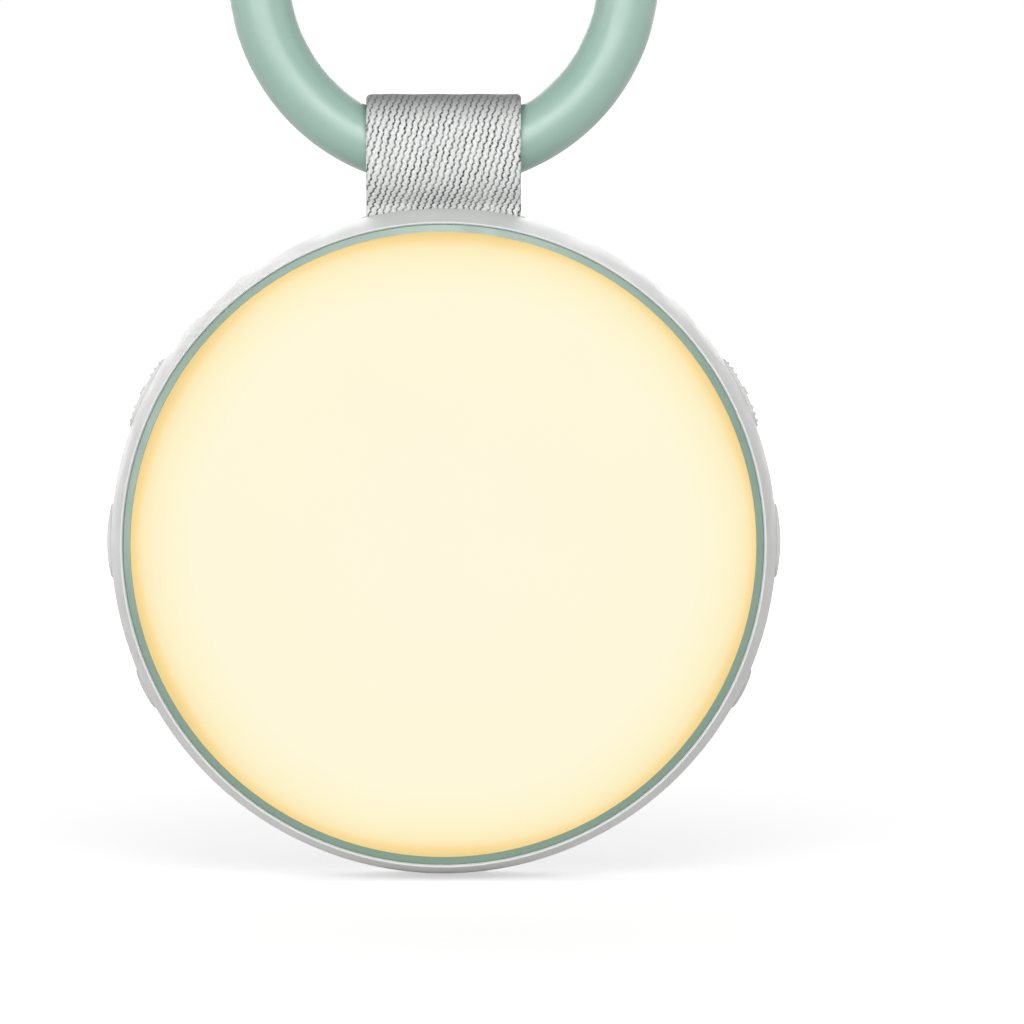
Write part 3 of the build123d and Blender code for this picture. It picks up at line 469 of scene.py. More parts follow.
@dataclass(frozen=True)
class BroadWebbing:
    """Light grey webbing in a steep twill, with a dark thread in zigzags between its ribs, and
    painted shade towards its fold over the ring.
    """

    name: str = "broad_webbing"
    thread: Colour = shade(248, 249, 248)
    shadowed: Colour = shade(220, 222, 221)
    dark: Colour = shade(40, 44, 43)
    # painted shade colour for the band near its fold over the ring
    apex_shade: Colour = shade(100, 104, 103)
    pitch: float = 1.0
    stitch: float = 0.6
    steepness: float = 73.5
    apex: float = 9.4
    apex_half: float = 8.6

    def material(self) -> bpy.types.Material:
        """Builds the material from a map in millimetres, across and along the band.

        Returns:
            The material.
        """
        bench = Bench(self.name)
        flat = bench.place.outputs["UV"]
        across, along, _ = bench.axes(flat)
        lean = math.radians(self.steepness)
        side = bench.mixed(across, math.sin(lean), along, math.cos(lean))
        run = bench.mixed(along, math.sin(lean), across, -math.cos(lean))
        side = bench.mixed(side, 1.0, bench.noise(2.2, 1.0, flat), 0.75)
        beat = bench.maths("PINGPONG", bench.maths("DIVIDE", run, self.stitch), 1.0)
        side = bench.mixed(side, 1.0, bench.spread(beat, 0.2, 0.8), 0.17)
        lines = bench.maths("DIVIDE", side, self.pitch)
        number = bench.maths("FLOOR", lines)
        off = bench.off_middle(lines)
        steps = bench.mixed(run, 1 / self.stitch, bench.chance(number, number), 1.0)
        luck = bench.chance(number, bench.maths("FLOOR", steps))
        patch = bench.spread(bench.noise(4.5, 1.0, flat), 0.38, 0.6, (0.6, 0.85))
        hair = bench.noise(0.2, 2.0, bench.stretched((1.0, 0.5, 1.0), "UV"))
        ink = bench.product(
            bench.spread(off, 0.06, 0.22, (1.0, 0.0)),
            bench.mixed(patch, 1.0, luck, 0.35),
            bench.spread(bench.off_middle(steps), 0.25, 0.5, (1.0, 0.5)),
            bench.spread(hair, 0.3, 0.5, (0.7, 1.0)),
        )
        streak = bench.noise(2.2, 2.0, bench.stretched((1.0, 0.16, 1.0), "UV"))
        worn = bench.spread(bench.mixed(hair, 0.8, streak, 0.2), 0.36, 0.62)
        colour = bench.blend(ink, bench.blend(worn, self.shadowed, self.thread), self.dark)
        # painted shade: the band darkens towards its fold over the top of the ring
        from_apex = bench.maths("ABSOLUTE", bench.maths("SUBTRACT", along, self.apex))
        shadow = bench.spread(from_apex, 1.0, self.apex_half, (0.85, 0.0))
        colour = bench.blend(shadow, colour, self.apex_shade)
        weft = bench.maths("PINGPONG", bench.maths("DIVIDE", run, self.stitch / 2), 1.0)
        fine = bench.mixed(weft, 0.3, hair, 0.3)
        height = bench.mixed(bench.spread(off, 0.0, 0.4), 1.0, fine, 1.0)
        return bench.finish(
            Base_Color=colour,
            Roughness=bench.spread(hair, 0.2, 0.8, (0.8, 0.95)),
            Sheen_Weight=0.2,
            Sheen_Roughness=0.5,
            Normal=bench.relief(height, 0.13 * MM),
        )


@dataclass(frozen=True)
class MelangeCloth:
    """Coarse melange weave: slanting light threads, every other one raised and the rest dimmed as
    painted shade, and pits painted dark as shadow.
    """

    name: str = "melange_cloth"
    light: Colour = shade(252, 252, 252)
    dulled: Colour = shade(226, 226, 227)
    ground: Colour = shade(188, 188, 189)
    dyed: Colour = shade(24, 24, 26)
    # painted shadow colour for the pits between threads
    pit: Colour = shade(12, 12, 13)
    step: float = 1.03
    wander: float = 1.15

    def material(self) -> bpy.types.Material:
        """Builds the material from a map of the flat cloth in millimetres.

        Returns:
            The material.
        """
        bench = Bench(self.name)
        flat = bench.place.outputs["UV"]
        across, up, _ = bench.axes(flat)
        column = bench.mixed(across, -1 / self.step, bench.noise(0.9, 1.0, flat), self.wander)
        row = bench.mixed(up, 1 / self.step, bench.noise(1.0, 1.0, flat), -self.wander)
        rising, falling = bench.mixed(column, 1.0, row, -1.0), bench.mixed(column, 1.0, row, 1.0)
        near = [bench.maths("ROUND", line) for line in (rising, falling)]
        off = [bench.maths("SUBTRACT", line, whole) for line, whole in zip((rising, falling), near)]
        luck, other = bench.chance(*near), bench.chance(*reversed(near))
        streak = bench.noise(2.6, 3.0, bench.stretched((0.35, 1.1, 1.0), "UV"))
        dark = bench.spread(streak, 0.44, 0.66)
        strand = bench.noise(0.22, 1.0, flat)
        # where the painted pit shadow goes
        pit = self.pit_shadow_mask(bench, off, luck, dark)
        # painted shade: every_other dims every other thread of each set
        ridge = bench.product(
            bench.spread(bench.maths("ABSOLUTE", off[0]), 0.12, 0.36),
            self.every_other(bench, rising, (0.3, 1.0)),
            bench.spread(luck, 0.0, 0.6, (0.4, 1.2)),
        )
        cross = bench.product(
            bench.spread(bench.maths("ABSOLUTE", off[1]), 0.22, 0.44),
            self.every_other(bench, falling, (0.22, 0.8)),
            bench.spread(other, 0.1, 0.5, (0.2, 1.1)),
        )
        shine = bench.maths("MINIMUM", bench.maths("MAXIMUM", ridge, cross), 1.0)
        dyed = bench.mixed(dark, 0.6, bench.spread(other, 0.1, 0.6, (0.75, 0.0)), 1.0)
        ground = bench.blend(bench.maths("MINIMUM", dyed, 1.0), self.ground, self.dyed)
        threads = bench.blend(dark, self.light, self.dulled)
        colour = bench.blend(shine, ground, threads)
        colour = bench.blend(bench.spread(strand, 0.25, 0.6, (0.35, 0.0)), colour, self.dyed)
        # painted shadow: the pits between threads are darkened almost to black
        colour = bench.blend(pit, colour, self.pit)
        height = bench.mixed(shine, 1.0, bench.mixed(pit, -0.5, strand, 0.3), 1.0)
        return bench.finish(
            Base_Color=colour,
            Roughness=bench.spread(strand, 0.2, 0.8, (0.82, 0.96)),
            Sheen_Weight=0.15,
            Sheen_Roughness=0.5,
            Normal=bench.relief(height, 0.16 * MM),
        )

    def every_other(self, bench: Bench, line: Socket, levels: Point2) -> Socket:
        """Dims every other thread as painted shade, so that its neighbours stand out.

        Args:
            bench: The material being built.
            line: Place across the threads, in threads.
            levels: Level of the weak and of the strong threads.

        Returns:
            The level.
        """
        pair = bench.maths("PINGPONG", bench.maths("ADD", line, 0.5), 1.0)
        return bench.spread(pair, 0.3, 0.7, levels)

    def pit_shadow_mask(self, bench: Bench, off: Sequence[Socket], luck: Socket, dark: Socket) -> Socket:
        """Marks the small triangle between four threads where a dark shadow is painted.

        Args:
            bench: The material being built.
            off: Place from the nearest pit, across the rising and the falling threads.
            luck: The pit's own chance.
            dark: How darkly the yarn is dyed there.

        Returns:
            1 in the pit, 0 off it.
        """
        across = bench.mixed(off[0], 0.5, off[1], 0.5)
        up = bench.mixed(off[1], 0.5, off[0], -0.5)
        sides = bench.mixed(bench.maths("ABSOLUTE", across), 1.25, up, 0.8)
        reach = bench.maths("MAXIMUM", sides, bench.maths("MULTIPLY", up, -1.5))
        size = bench.maths("ADD", 0.16, bench.mixed(luck, 0.28, dark, 0.16))
        mask = bench.spread(bench.maths("DIVIDE", reach, size), 0.65, 1.15, (1.0, 0.0))
        return bench.maths("MULTIPLY", mask, bench.spread(luck, 0.0, 0.4, (0.5, 1.0)))


@dataclass(frozen=True)
class DrawnMetal:
    """Metal with fine drawn or turned lines and small stains."""

    name: str
    colour: Colour
    roughness: float = 0.32
    grain: Grain = Grain.EVEN
    size: float = 0.15 * MM
    depth: float = 0.004 * MM

    def material(self) -> bpy.types.Material:
        """Builds the material.

        Returns:
            The material.
        """
        bench = Bench(self.name)
        lines = bench.noise(self.size, 3.0, bench.stretched(self.grain.value))
        stain = bench.noise(4 * MM, 3.0)
        worn = tuple(part * 0.8 for part in self.colour)
        return bench.finish(
            Base_Color=bench.blend(bench.spread(stain, 0.35, 0.7), worn, self.colour),
            Metallic=1.0,
            Roughness=bench.spread(lines, 0.3, 0.7, (self.roughness - 0.08, self.roughness + 0.1)),
            Normal=bench.relief(lines, self.depth),
        )


@dataclass(frozen=True)
class FibrousSheet:
    """Paper, foam, felt or rubber: a soft ground with flecks and pits."""

    name: str
    colour: Colour
    fleck: Colour
    size: float = 0.4 * MM
    depth: float = 0.03 * MM
    roughness: float = 0.85

    def material(self) -> bpy.types.Material:
        """Builds the material.

        Returns:
            The material.
        """
        bench = Bench(self.name)
        fibre = bench.noise(self.size, 4.0)
        pits = bench.cells(self.size * 1.6)
        return bench.finish(
            Base_Color=bench.blend(bench.spread(fibre, 0.45, 0.75), self.colour, self.fleck),
            Roughness=bench.spread(fibre, 0.2, 0.8, (self.roughness - 0.08, self.roughness + 0.08)),
            Normal=bench.relief(bench.maths("ADD", pits, fibre), self.depth),
        )


@dataclass(frozen=True)
class CircuitBoard:
    """Green solder mask over copper tracks, with bare tinned pads."""

    name: str = "circuit_board"
    mask: Colour = shade(24, 92, 52)
    track: Colour = shade(44, 122, 70)
    pad: Colour = shade(196, 192, 180)

    def material(self) -> bpy.types.Material:
        """Builds the material.

        Returns:
            The material.
        """
        bench = Bench(self.name)
        tracks = bench.node("ShaderNodeTexVoronoi", distance="CHEBYCHEV", feature="F2")
        bench.feed(tracks.inputs["Vector"], bench.place.outputs["Object"])
        bench.feed(tracks.inputs["Scale"], 1 / (3.2 * MM))
        bands = bench.maths("MULTIPLY", tracks.outputs["Distance"], 4.0)
        copper = bench.spread(bench.maths("PINGPONG", bands, 1.0), 0.5, 0.58)
        holes = bench.cells(4.5 * MM)
        tinned = bench.spread(holes, 0.08, 0.1, (1.0, 0.0))
        colour = bench.blend(tinned, bench.blend(copper, self.mask, self.track), self.pad)
        return bench.finish(
            Base_Color=colour,
            Metallic=bench.maths("MULTIPLY", tinned, 0.9),
            Roughness=bench.spread(copper, 0.0, 1.0, (0.36, 0.28)),
            Normal=bench.relief(bench.maths("ADD", copper, tinned), 0.02 * MM),
        )


@dataclass(frozen=True)
class CreasedFoil:
    """Dull laminate pouch with soft creases."""

    name: str = "cell_pouch"
    colour: Colour = shade(186, 188, 192)

    def material(self) -> bpy.types.Material:
        """Builds the material.

        Returns:
            The material.
        """
        bench = Bench(self.name)
        crease = bench.cells(5 * MM)
        fine = bench.noise(1.2 * MM, 4.0)
        darker = tuple(part * 0.78 for part in self.colour)
        return bench.finish(
            Base_Color=bench.blend(fine, darker, self.colour),
            Metallic=0.85,
            Roughness=bench.spread(fine, 0.3, 0.7, (0.34, 0.5)),
            Normal=bench.relief(bench.maths("ADD", crease, fine), 0.08 * MM),
        )


@dataclass(frozen=True)
class PrintedInk:
    """Pad-printed ink, thin in places."""

    name: str = "printed_ink"
    colour: Colour = shade(92, 94, 96)
    thin: Colour = shade(128, 130, 131)

    def material(self) -> bpy.types.Material:
        """Builds the material.

        Returns:
            The material.
        """
        bench = Bench(self.name)
        speck = bench.noise(0.25 * MM, 3.0)
        return bench.finish(
            Base_Color=bench.blend(bench.spread(speck, 0.5, 0.8), self.colour, self.thin),
            Roughness=bench.spread(speck, 0.3, 0.7, (0.5, 0.65)),
            Normal=bench.relief(speck, 0.004 * MM),
        )


def dress(nodes: Sequence[str], material: bpy.types.Material) -> None:
    """Gives solids of the frame their finish.

    Args:
        nodes: The solids' names.
        material: The finish.
    """
    for name in nodes:
        solid = bpy.data.objects[name]
        if not solid.material_slots:
            solid.data.materials.append(material)
        for slot in solid.material_slots:
            slot.material = material
        LOG.info("dressed %s in %s", name, material.name)


def piece_from(
    name: str,
    points: Sequence[Sequence[float]],
    faces: Sequence[Sequence[int]],
    material: bpy.types.Material,
    flat: Sequence[Point2] | None = None,
) -> bpy.types.Object:
    """Makes a mesh piece from points and faces.

    Args:
        name: The piece's name.
        points: Corners in metres.
        faces: Corner numbers of each face.
        material: The finish.
        flat: Place of each corner on the flat material, in millimetres.

    Returns:
        The new object.
    """
    mesh = bpy.data.meshes.new(name)
    mesh.from_pydata([tuple(point) for point in points], [], [tuple(face) for face in faces])
    mesh.materials.append(material)
    mesh.polygons.foreach_set("use_smooth", [True] * len(mesh.polygons))
    if flat is not None:
        layer = mesh.uv_layers.new(name="flat")
        for loop in mesh.loops:
            layer.data[loop.index].uv = flat[loop.vertex_index]
    made = bpy.data.objects.new(name, mesh)
    bpy.context.scene.collection.objects.link(made)
    LOG.info("made %s with %d faces", name, len(faces))
    return made


def weld(piece: bpy.types.Object) -> None:
    """Joins corners that meet and turns all the faces outwards.

    Args:
        piece: A closed mesh piece.
    """
    shell = bmesh.new()
    shell.from_mesh(piece.data)
    bmesh.ops.remove_doubles(shell, verts=shell.verts, dist=1e-6)
    bmesh.ops.recalc_face_normals(shell, faces=shell.faces)
    shell.to_mesh(piece.data)
    shell.free()


@dataclass
class HangingRing:
    """The mint ring that the whole machine hangs from."""

    colour: Colour = shade(145, 179, 166)
    middle: float = -24.85 * MM
    mean: float = 29.8 * MM
    tube: float = 4.95 * MM
    turns: int = 240
    sides: int = 64

    def build(self) -> None:
        """Models the ring as one smooth moulding in satin mint plastic."""
        finish = MouldedPlastic(
            "mint_ring",
            self.colour,
            roughness=0.38,
            grain=0.3 * MM,
            depth=0.0015 * MM,
            clouding=0.02,
            gloss=1.0,
            index=1.6,
        )
        points, faces = [], []
        for turn in range(self.turns):
            angle = math.tau * turn / self.turns
            for side in range(self.sides):
                roll = math.tau * side / self.sides
                reach = self.mean + self.tube * math.cos(roll)
                height = self.middle + reach * math.sin(angle)
                points.append((reach * math.cos(angle), self.tube * math.sin(roll), height))
                a, b = turn * self.sides + side, turn * self.sides + (side + 1) % self.sides
                after = self.turns * self.sides
                faces.append((a, b, (b + self.sides) % after, (a + self.sides) % after))
        hoop = piece_from("mint_hoop", points, faces, finish.material())
        weld(hoop)
        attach(hoop, Body.RING.value)
        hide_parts("hang_ring")


@dataclass
class WebbingStrap:
    """One webbing band that runs round the ring's tube and a pin inside the casing."""

    width: float = 25.0 * MM
    ply: float = 1.5 * MM
    tube_place: float = -54.65 * MM
    tube_climb: float = 3.365 * MM
    tube_reach: float = 6.02 * MM
    neck: float = 0.98 * MM
    fold: float = -61.75 * MM
    shoulder: float = -66.6 * MM
    pin_place: float = -70.15 * MM
    pin_reach: float = 2.38 * MM
    bend_top: float = -60.9 * MM
    bend_foot: float = -63.4 * MM
    pin_start: float = math.pi * 0.86
    pin_end: float = math.pi * 2.14
    spacing: float = 0.55 * MM
    easing: int = 3
    columns: int = 34
    edge_steps: int = 4
    wave: float = 0.05
    wave_across: float = 900.0
    wave_drift: int = 14
    wave_repeats: int = 6

    def side_line(self) -> list[Point2]:
        """Works out the band's middle line, seen from the side, as a closed run of points.

        Returns:
            Points as depth and height.
        """
        line: list[Point2] = []
        top = self.tube_place + self.tube_climb
        lean = math.asin((self.tube_reach - self.neck) / (self.tube_place - self.fold))
        line += self.arc(top, self.tube_reach, 0.0, math.pi, 22)
        low = [(self.tube_place, self.tube_reach, 6), (self.fold, self.neck, 3)]
        for centre, reach, count in low:
            line += self.arc(centre, reach, math.pi, math.pi + lean, count)
        line.append((-self.neck, self.shoulder))
        line += self.arc(self.pin_place, self.pin_reach, self.pin_start, self.pin_end, 16)
        line.append((self.neck, self.shoulder))
        for centre, reach, count in reversed(low):
            line += self.arc(centre, reach, math.tau - lean, math.tau, count)
        return self.even(line)

    def arc(
        self, centre: float, reach: float, start: float, end: float, count: int
    ) -> list[Point2]:
        """Points on an arc about a place on the middle line.

        Args:
            centre: Height of the arc's centre.
            reach: Radius.
            start: First angle, from +Y towards +Z.
            end: Last angle.
            count: Number of points.

        Returns:
            Points as depth and height.
        """
        angles = [start + (end - start) * step / (count - 1) for step in range(count)]
        return [(reach * math.cos(a), centre + reach * math.sin(a)) for a in angles]

    def even(self, line: list[Point2]) -> list[Point2]:
        """Spaces a closed run of points evenly and eases its corners.

        Args:
            line: The run.

        Returns:
            The evenly spaced run.
        """
        loop = line + line[:1]
        lengths = [math.dist(a, b) for a, b in zip(loop, loop[1:])]
        total = sum(lengths)
        count = round(total / self.spacing)
        spaced: list[Point2] = []
        index, passed = 0, 0.0
        for step in range(count):
            place = total * step / count
            while passed + lengths[index] < place:
                passed += lengths[index]
                index += 1
            share = (place - passed) / lengths[index]
            a, b = loop[index], loop[index + 1]
            spaced.append((a[0] + (b[0] - a[0]) * share, a[1] + (b[1] - a[1]) * share))
        for _ in range(self.easing):
            before, after = spaced[-1:] + spaced[:-1], spaced[1:] + spaced[:1]
            spaced = [
                ((a[0] + 2 * b[0] + c[0]) / 4, (a[1] + 2 * b[1] + c[1]) / 4)
                for a, b, c in zip(before, spaced, after)
            ]
        return spaced

    def section(self) -> list[Point2]:
        """Works out the band's cross-section, with rounded selvedges.

        Returns:
            Points as place across the band and height off its middle.
        """
        half, thick = self.width / 2, self.ply / 2
        span = self.width - self.ply
        flat = [-half + thick + span * i / self.columns for i in range(self.columns + 1)]
        turn = [math.pi * (i + 1) / (self.edge_steps + 1) for i in range(self.edge_steps)]
        outer = [(x, thick) for x in flat]
        right = [(half - thick + thick * math.sin(a), thick * math.cos(a)) for a in turn]
        inner = [(x, -thick) for x in reversed(flat)]
        left = [(-half + thick - thick * math.sin(a), -thick * math.cos(a)) for a in turn]
        return outer + right + inner + left

    def build(self) -> None:
        """Makes the band in place of the strap's solids and dresses the pin."""
        line, section = self.side_line(), self.section()
        rows, around = len(line), len(section)
        points, flat, faces = [], [], []
        length = 0.0
        for row in range(rows + 1):
            here, before, after = line[row % rows], line[row % rows - 1], line[(row + 1) % rows]
            run = Vector((after[0] - before[0], after[1] - before[1])).normalized()
            out = Vector((run.y, -run.x))
            turn = math.tau * row / rows
            for across, off in section:
                ripple = math.sin(across * self.wave_across + self.wave_drift * turn)
                wave = 1 + self.wave * ripple * math.sin(self.wave_repeats * turn)
                depth, height = here[0] + out.x * off * wave, here[1] + out.y * off * wave
                points.append((across, depth, height))
                flat.append((across / MM, length / MM))
            length += math.dist(here, line[(row + 1) % rows])
        for row in range(rows):
            for step in range(around):
                a, b = row * around + step, row * around + (step + 1) % around
                faces.append((a, b, b + around, a + around))
        band = piece_from("strap_band", points, faces, BroadWebbing().material(), flat)
        weld(band)
        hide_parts("strap", "strap_tail")
        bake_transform(band)
        steel = DrawnMetal("pin_steel", shade(190, 190, 192), 0.25, Grain.ALONG_X)
        dress(["strap_pin"], steel.material())
        LOG.info("strap band cut to %.1f mm", length / MM)


class DressedSolids:
    """A sub-assembly whose solids need no more than their finishes."""

    finishes: ClassVar[dict[str, Finish]]

    def build(self) -> None:
        """Dresses the solids."""
        for name, finish in self.finishes.items():
            dress([name], finish.material())


class NightLamp(DressedSolids):
    """Everything of the lamp: trim, opal cover, pan, board and lamps."""

    finishes = {
        "trim_ring": MouldedPlastic(
            "mint_trim", shade(119, 149, 134), 0.32, depth=0.0015 * MM, gloss=1.0
        ),
        "diffuser": OpalLamp(),
        "light_tray": MouldedPlastic("tray_white", shade(240, 240, 236), 0.28),
        "led_board": CircuitBoard("lamp_board", shade(226, 227, 224), shade(214, 216, 212)),
        "lamp_leds": MouldedPlastic("lamp_phosphor", shade(238, 208, 96), 0.3),
    }


class Stencil:
    """A flat print put together from bars, frames and arcs, drawn in millimetres."""

    def __init__(self, line: float = 0.13) -> None:
        """Starts an empty print.

        Args:
            line: Width of its lines.
        """
        self.line = line
        self.points: list[Point2] = []
        self.faces: list[list[int]] = []

    def bar(self, x: float, y: float, wide: float, high: float, turn: float = 0.0) -> None:
        """Adds a filled bar.

        Args:
            x: Middle, across.
            y: Middle, up.
            wide: Width.
            high: Height.
            turn: Degrees it is turned by.
        """
        start = len(self.points)
        c, s = math.cos(math.radians(turn)), math.sin(math.radians(turn))
        for across, up in ((-wide, -high), (wide, -high), (wide, high), (-wide, high)):
            across, up = across / 2, up / 2
            self.points.append(((x + across * c - up * s) * MM, (y + across * s + up * c) * MM))
        self.faces.append([start, start + 1, start + 2, start + 3])

    def frame(self, x: float, y: float, wide: float, high: float) -> None:
        """Adds the outline of a bar.

        Args:
            x: Middle, across.
            y: Middle, up.
            wide: Outer width.
            high: Outer height.
        """
        inset = self.line / 2
        for side in (-1, 1):
            self.bar(x, y + side * (high / 2 - inset), wide, self.line)
            self.bar(x + side * (wide / 2 - inset), y, self.line, high - 2 * self.line)

    def arc(
        self, x: float, y: float, radius: float, start: float, end: float, steps: int
    ) -> None:
        """Adds a line along an arc.

        Args:
            x: Centre, across.
            y: Centre, up.
            radius: Radius of the line's middle.
            start: First angle in degrees.
            end: Last angle in degrees.
            steps: Pieces that the arc is cut into.
        """
        first = len(self.points)
        for step in range(steps + 1):
            angle = math.radians(start + (end - start) * step / steps)
            c, s = math.cos(angle), math.sin(angle)
            for reach in (radius - self.line / 2, radius + self.line / 2):
                self.points.append(((x + reach * c) * MM, (y + reach * s) * MM))
        for step in range(steps):
            corner = first + 2 * step
            self.faces.append([corner, corner + 1, corner + 3, corner + 2])


@dataclass
class Casing:
    """The two shells, the charge light and the figures printed on the rear bevel."""

    white: Colour = shade(228, 228, 227)
    bevel_low: Point2 = (52.6 * MM, 8.3 * MM)
    bevel_high: Point2 = (49.4 * MM, 11.2 * MM)
    letter_height: float = 1.3 * MM
    letter_stretch: float = 1.5
    letter_share: float = 0.27
    capital_share: float = 0.69
    letter_spacing: float = 1.15
    ink_spread: float = 0.035 * MM
    figures: tuple[tuple[str, float], ...] = (("6H", 7.4), ("3H", -1.0), ("1H", -9.3))
    icon_share: float = 0.66

    def build(self) -> None:
        """Dresses the shells and prints the rear bevel."""
        shell = MouldedPlastic("casing_white", self.white, 0.5, depth=0.0012 * MM, clouding=0.01)
        dress(["front_shell", "rear_shell"], shell.material())
        smoke = MouldedPlastic("smoke_lens", shade(34, 35, 38), 0.18, depth=0.001 * MM, coat=0.5)
        dress(["charge_light"], smoke.material())
        ink = PrintedInk().material()
        for words, angle in self.figures:
            name, outline = f"figure_{words.lower()}", self.lettering(words)
            self.print_on_bevel(name, outline, 180.0 - angle, self.letter_share, ink)
        self.print_on_bevel("charge_mark", self.charge_mark(), 270.0, self.icon_share, ink)

    def lettering(self, words: str) -> Outline:
        """Cuts words as flat faces, centred on the origin.

        Args:
            words: The words.

        Returns:
            Points and faces.
        """
        text = bpy.data.curves.new(words, "FONT")
        text.body = words
        text.size = self.letter_height / self.capital_share
        text.space_character = self.letter_spacing
        text.resolution_u = 4
        text.offset = self.ink_spread
        text.align_x = "CENTER"
        text.align_y = "CENTER"
        carrier = bpy.data.objects.new(words, text)
        mesh = bpy.data.meshes.new_from_object(carrier)
        points = [(corner.co.x * self.letter_stretch, corner.co.y) for corner in mesh.vertices]
        faces = [list(face.vertices) for face in mesh.polygons]
        bpy.data.objects.remove(carrier)
        bpy.data.meshes.remove(mesh)
        return points, faces

    def charge_mark(self) -> Outline:
        """Draws a battery beside a plug, as thin bars.

        Returns:
            Points and faces.
        """
        mark = Stencil()
        mark.frame(-0.85, 0.0, 1.7, 0.8)
        mark.bar(0.12, 0.0, 0.12, 0.36)
        mark.bar(-0.85, 0.0, 0.5, 0.34)
        mark.frame(0.95, 0.0, 0.6, 0.7)
        mark.bar(1.45, 0.2, 0.42, 0.12)
        mark.bar(1.45, -0.2, 0.42, 0.12)
        mark.bar(0.45, 0.0, 0.34, 0.12)
        return mark.points, mark.faces

    def print_on_bevel(
        self, name: str, outline: Outline, angle: float, share: float, ink: bpy.types.Material
    ) -> None:
        """Lays a flat outline on the rear bevel, with its top towards the casing's middle.

        Args:
            name: The print's name.
            outline: Points and faces.
            angle: Degrees from +X towards +Z where the print's middle lies.
            share: How far across the bevel it lies, from the outside.
            ink: The finish.
        """
        low, high = Vector(self.bevel_low), Vector(self.bevel_high)
        inwards = (high - low).normalized()
        out = Vector((-inwards.y, inwards.x)) * -1
        start = low.lerp(high, share)
        points = []
        for along, up in outline[0]:
            place = start + inwards * up + out * INK_LIFT
            turn = math.radians(angle) - along / start.x
            height = CASING_CENTRE + place.x * math.sin(turn)
            points.append((place.x * math.cos(turn), place.y, height))
        print_piece = piece_from(name, points, outline[1], ink)
        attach(print_piece, Body.CASING.value)


@dataclass
class RimControls:
    """The six caps in the rim, each with a small printed mark."""

    white: Colour = shade(226, 226, 225)
    rim: float = 53.7 * MM
    end_proud: float = 0.25 * MM
    slant: float = 26.5
    rocker: Point2 = (12.4 * MM, 0.6 * MM)
    long: Point2 = (12.0 * MM, 0.6 * MM)
    short: Point2 = (7.0 * MM, 0.45 * MM)

    def build(self) -> None:
        """Dresses the caps and prints their marks."""
        cap = MouldedPlastic("control_white", self.white, 0.45, depth=0.0015 * MM, clouding=0.01)
        finish, ink = cap.material(), PrintedInk("control_ink").material()
        left, right = 180.0, 0.0
        marks = (
            ("volume_rocker", left - self.slant, self.rocker, self.waves()),
            ("timer_button", left, self.long, self.clock()),
            ("sound_button", left + self.slant, self.short, self.bars()),
            ("brightness_rocker", right + self.slant, self.rocker, self.sun()),
            ("lamp_button", right, self.long, self.moon()),
            ("tone_button", right - self.slant, self.short, self.dots()),
        )
        for name, angle, size, mark in marks:
            dress([name], finish)
            self.print_on_cap(name, angle, size, mark, ink)

    def waves(self) -> Stencil:
        """Draws arcs that widen, either side of the middle.

        Returns:
            The mark.
        """
        mark = Stencil()
        for reach in (0.45, 0.8):
            mark.arc(1.15, 0.0, reach, -50.0, 50.0, 10)
            mark.arc(-1.15, 0.0, reach, 130.0, 230.0, 10)
        return mark

    def clock(self) -> Stencil:
        """Draws a clock face with two hands.

        Returns:
            The mark.
        """
        mark = Stencil()
        mark.arc(0.0, 0.0, 1.0, 0.0, 360.0, 32)
        mark.bar(0.0, 0.3, 0.12, 0.6)
        mark.bar(0.2, 0.0, 0.4, 0.12)
        return mark

    def bars(self) -> Stencil:
        """Draws five bars of uneven height.

        Returns:
            The mark.
        """
        mark = Stencil()
        for number, high in enumerate((0.5, 1.1, 1.7, 0.9, 0.6)):
            mark.bar(0.4 * (number - 2), 0.0, 0.14, high)
        return mark

    def sun(self) -> Stencil:
        """Draws a small and a large sun, either side of the middle.

        Returns:
            The mark.
        """
        mark = Stencil(0.11)
        for side, reach in ((-1.5, 0.26), (1.5, 0.4)):
            mark.arc(side, 0.0, reach, 0.0, 360.0, 24)
            far = reach + 0.22
            for turn in range(0, 360, 45):
                angle = math.radians(turn)
                x, y = side + far * math.cos(angle), far * math.sin(angle)
                mark.bar(x, y, 0.16, 0.09, float(turn))
        return mark

    def moon(self) -> Stencil:
        """Draws a crescent.

        Returns:
            The mark.
        """
        mark = Stencil()
        mark.arc(0.0, 0.0, 0.95, 55.0, 305.0, 26)
        mark.arc(0.72, 0.0, 0.8, 104.0, 256.0, 20)
        return mark

    def dots(self) -> Stencil:
        """Draws three small rings.

        Returns:
            The mark.
        """
        mark = Stencil()
        for place in (-0.8, 0.0, 0.8):
            mark.arc(place, 0.0, 0.24, 0.0, 360.0, 18)
        return mark

    def print_on_cap(
        self, name: str, angle: float, size: Point2, mark: Stencil, ink: bpy.types.Material
    ) -> None:
        """Lays a mark on a cap's crowned face.

        Args:
            name: The cap, which is also the body that the mark rides on.
            angle: Degrees from +X towards +Z where the cap's middle lies.
            size: The cap's length and how far its middle stands proud.
            mark: The mark.
            ink: The finish.
        """
        half = size[0] / 2
        crest = self.rim + size[1]
        drop = crest - math.sqrt((self.rim + self.end_proud) ** 2 - half**2)
        crown = (half**2 + drop**2) / (2 * drop)
        turn = math.radians(angle)
        points = []
        for along, up in mark.points:
            reach = crest - crown + math.sqrt(crown**2 - along**2) + INK_LIFT
            x = reach * math.cos(turn) - along * math.sin(turn)
            z = reach * math.sin(turn) + along * math.cos(turn)
            points.append((x, up, CASING_CENTRE + z))
        printed = piece_from(f"{name}_mark", points, mark.faces, ink)
        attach(printed, name)


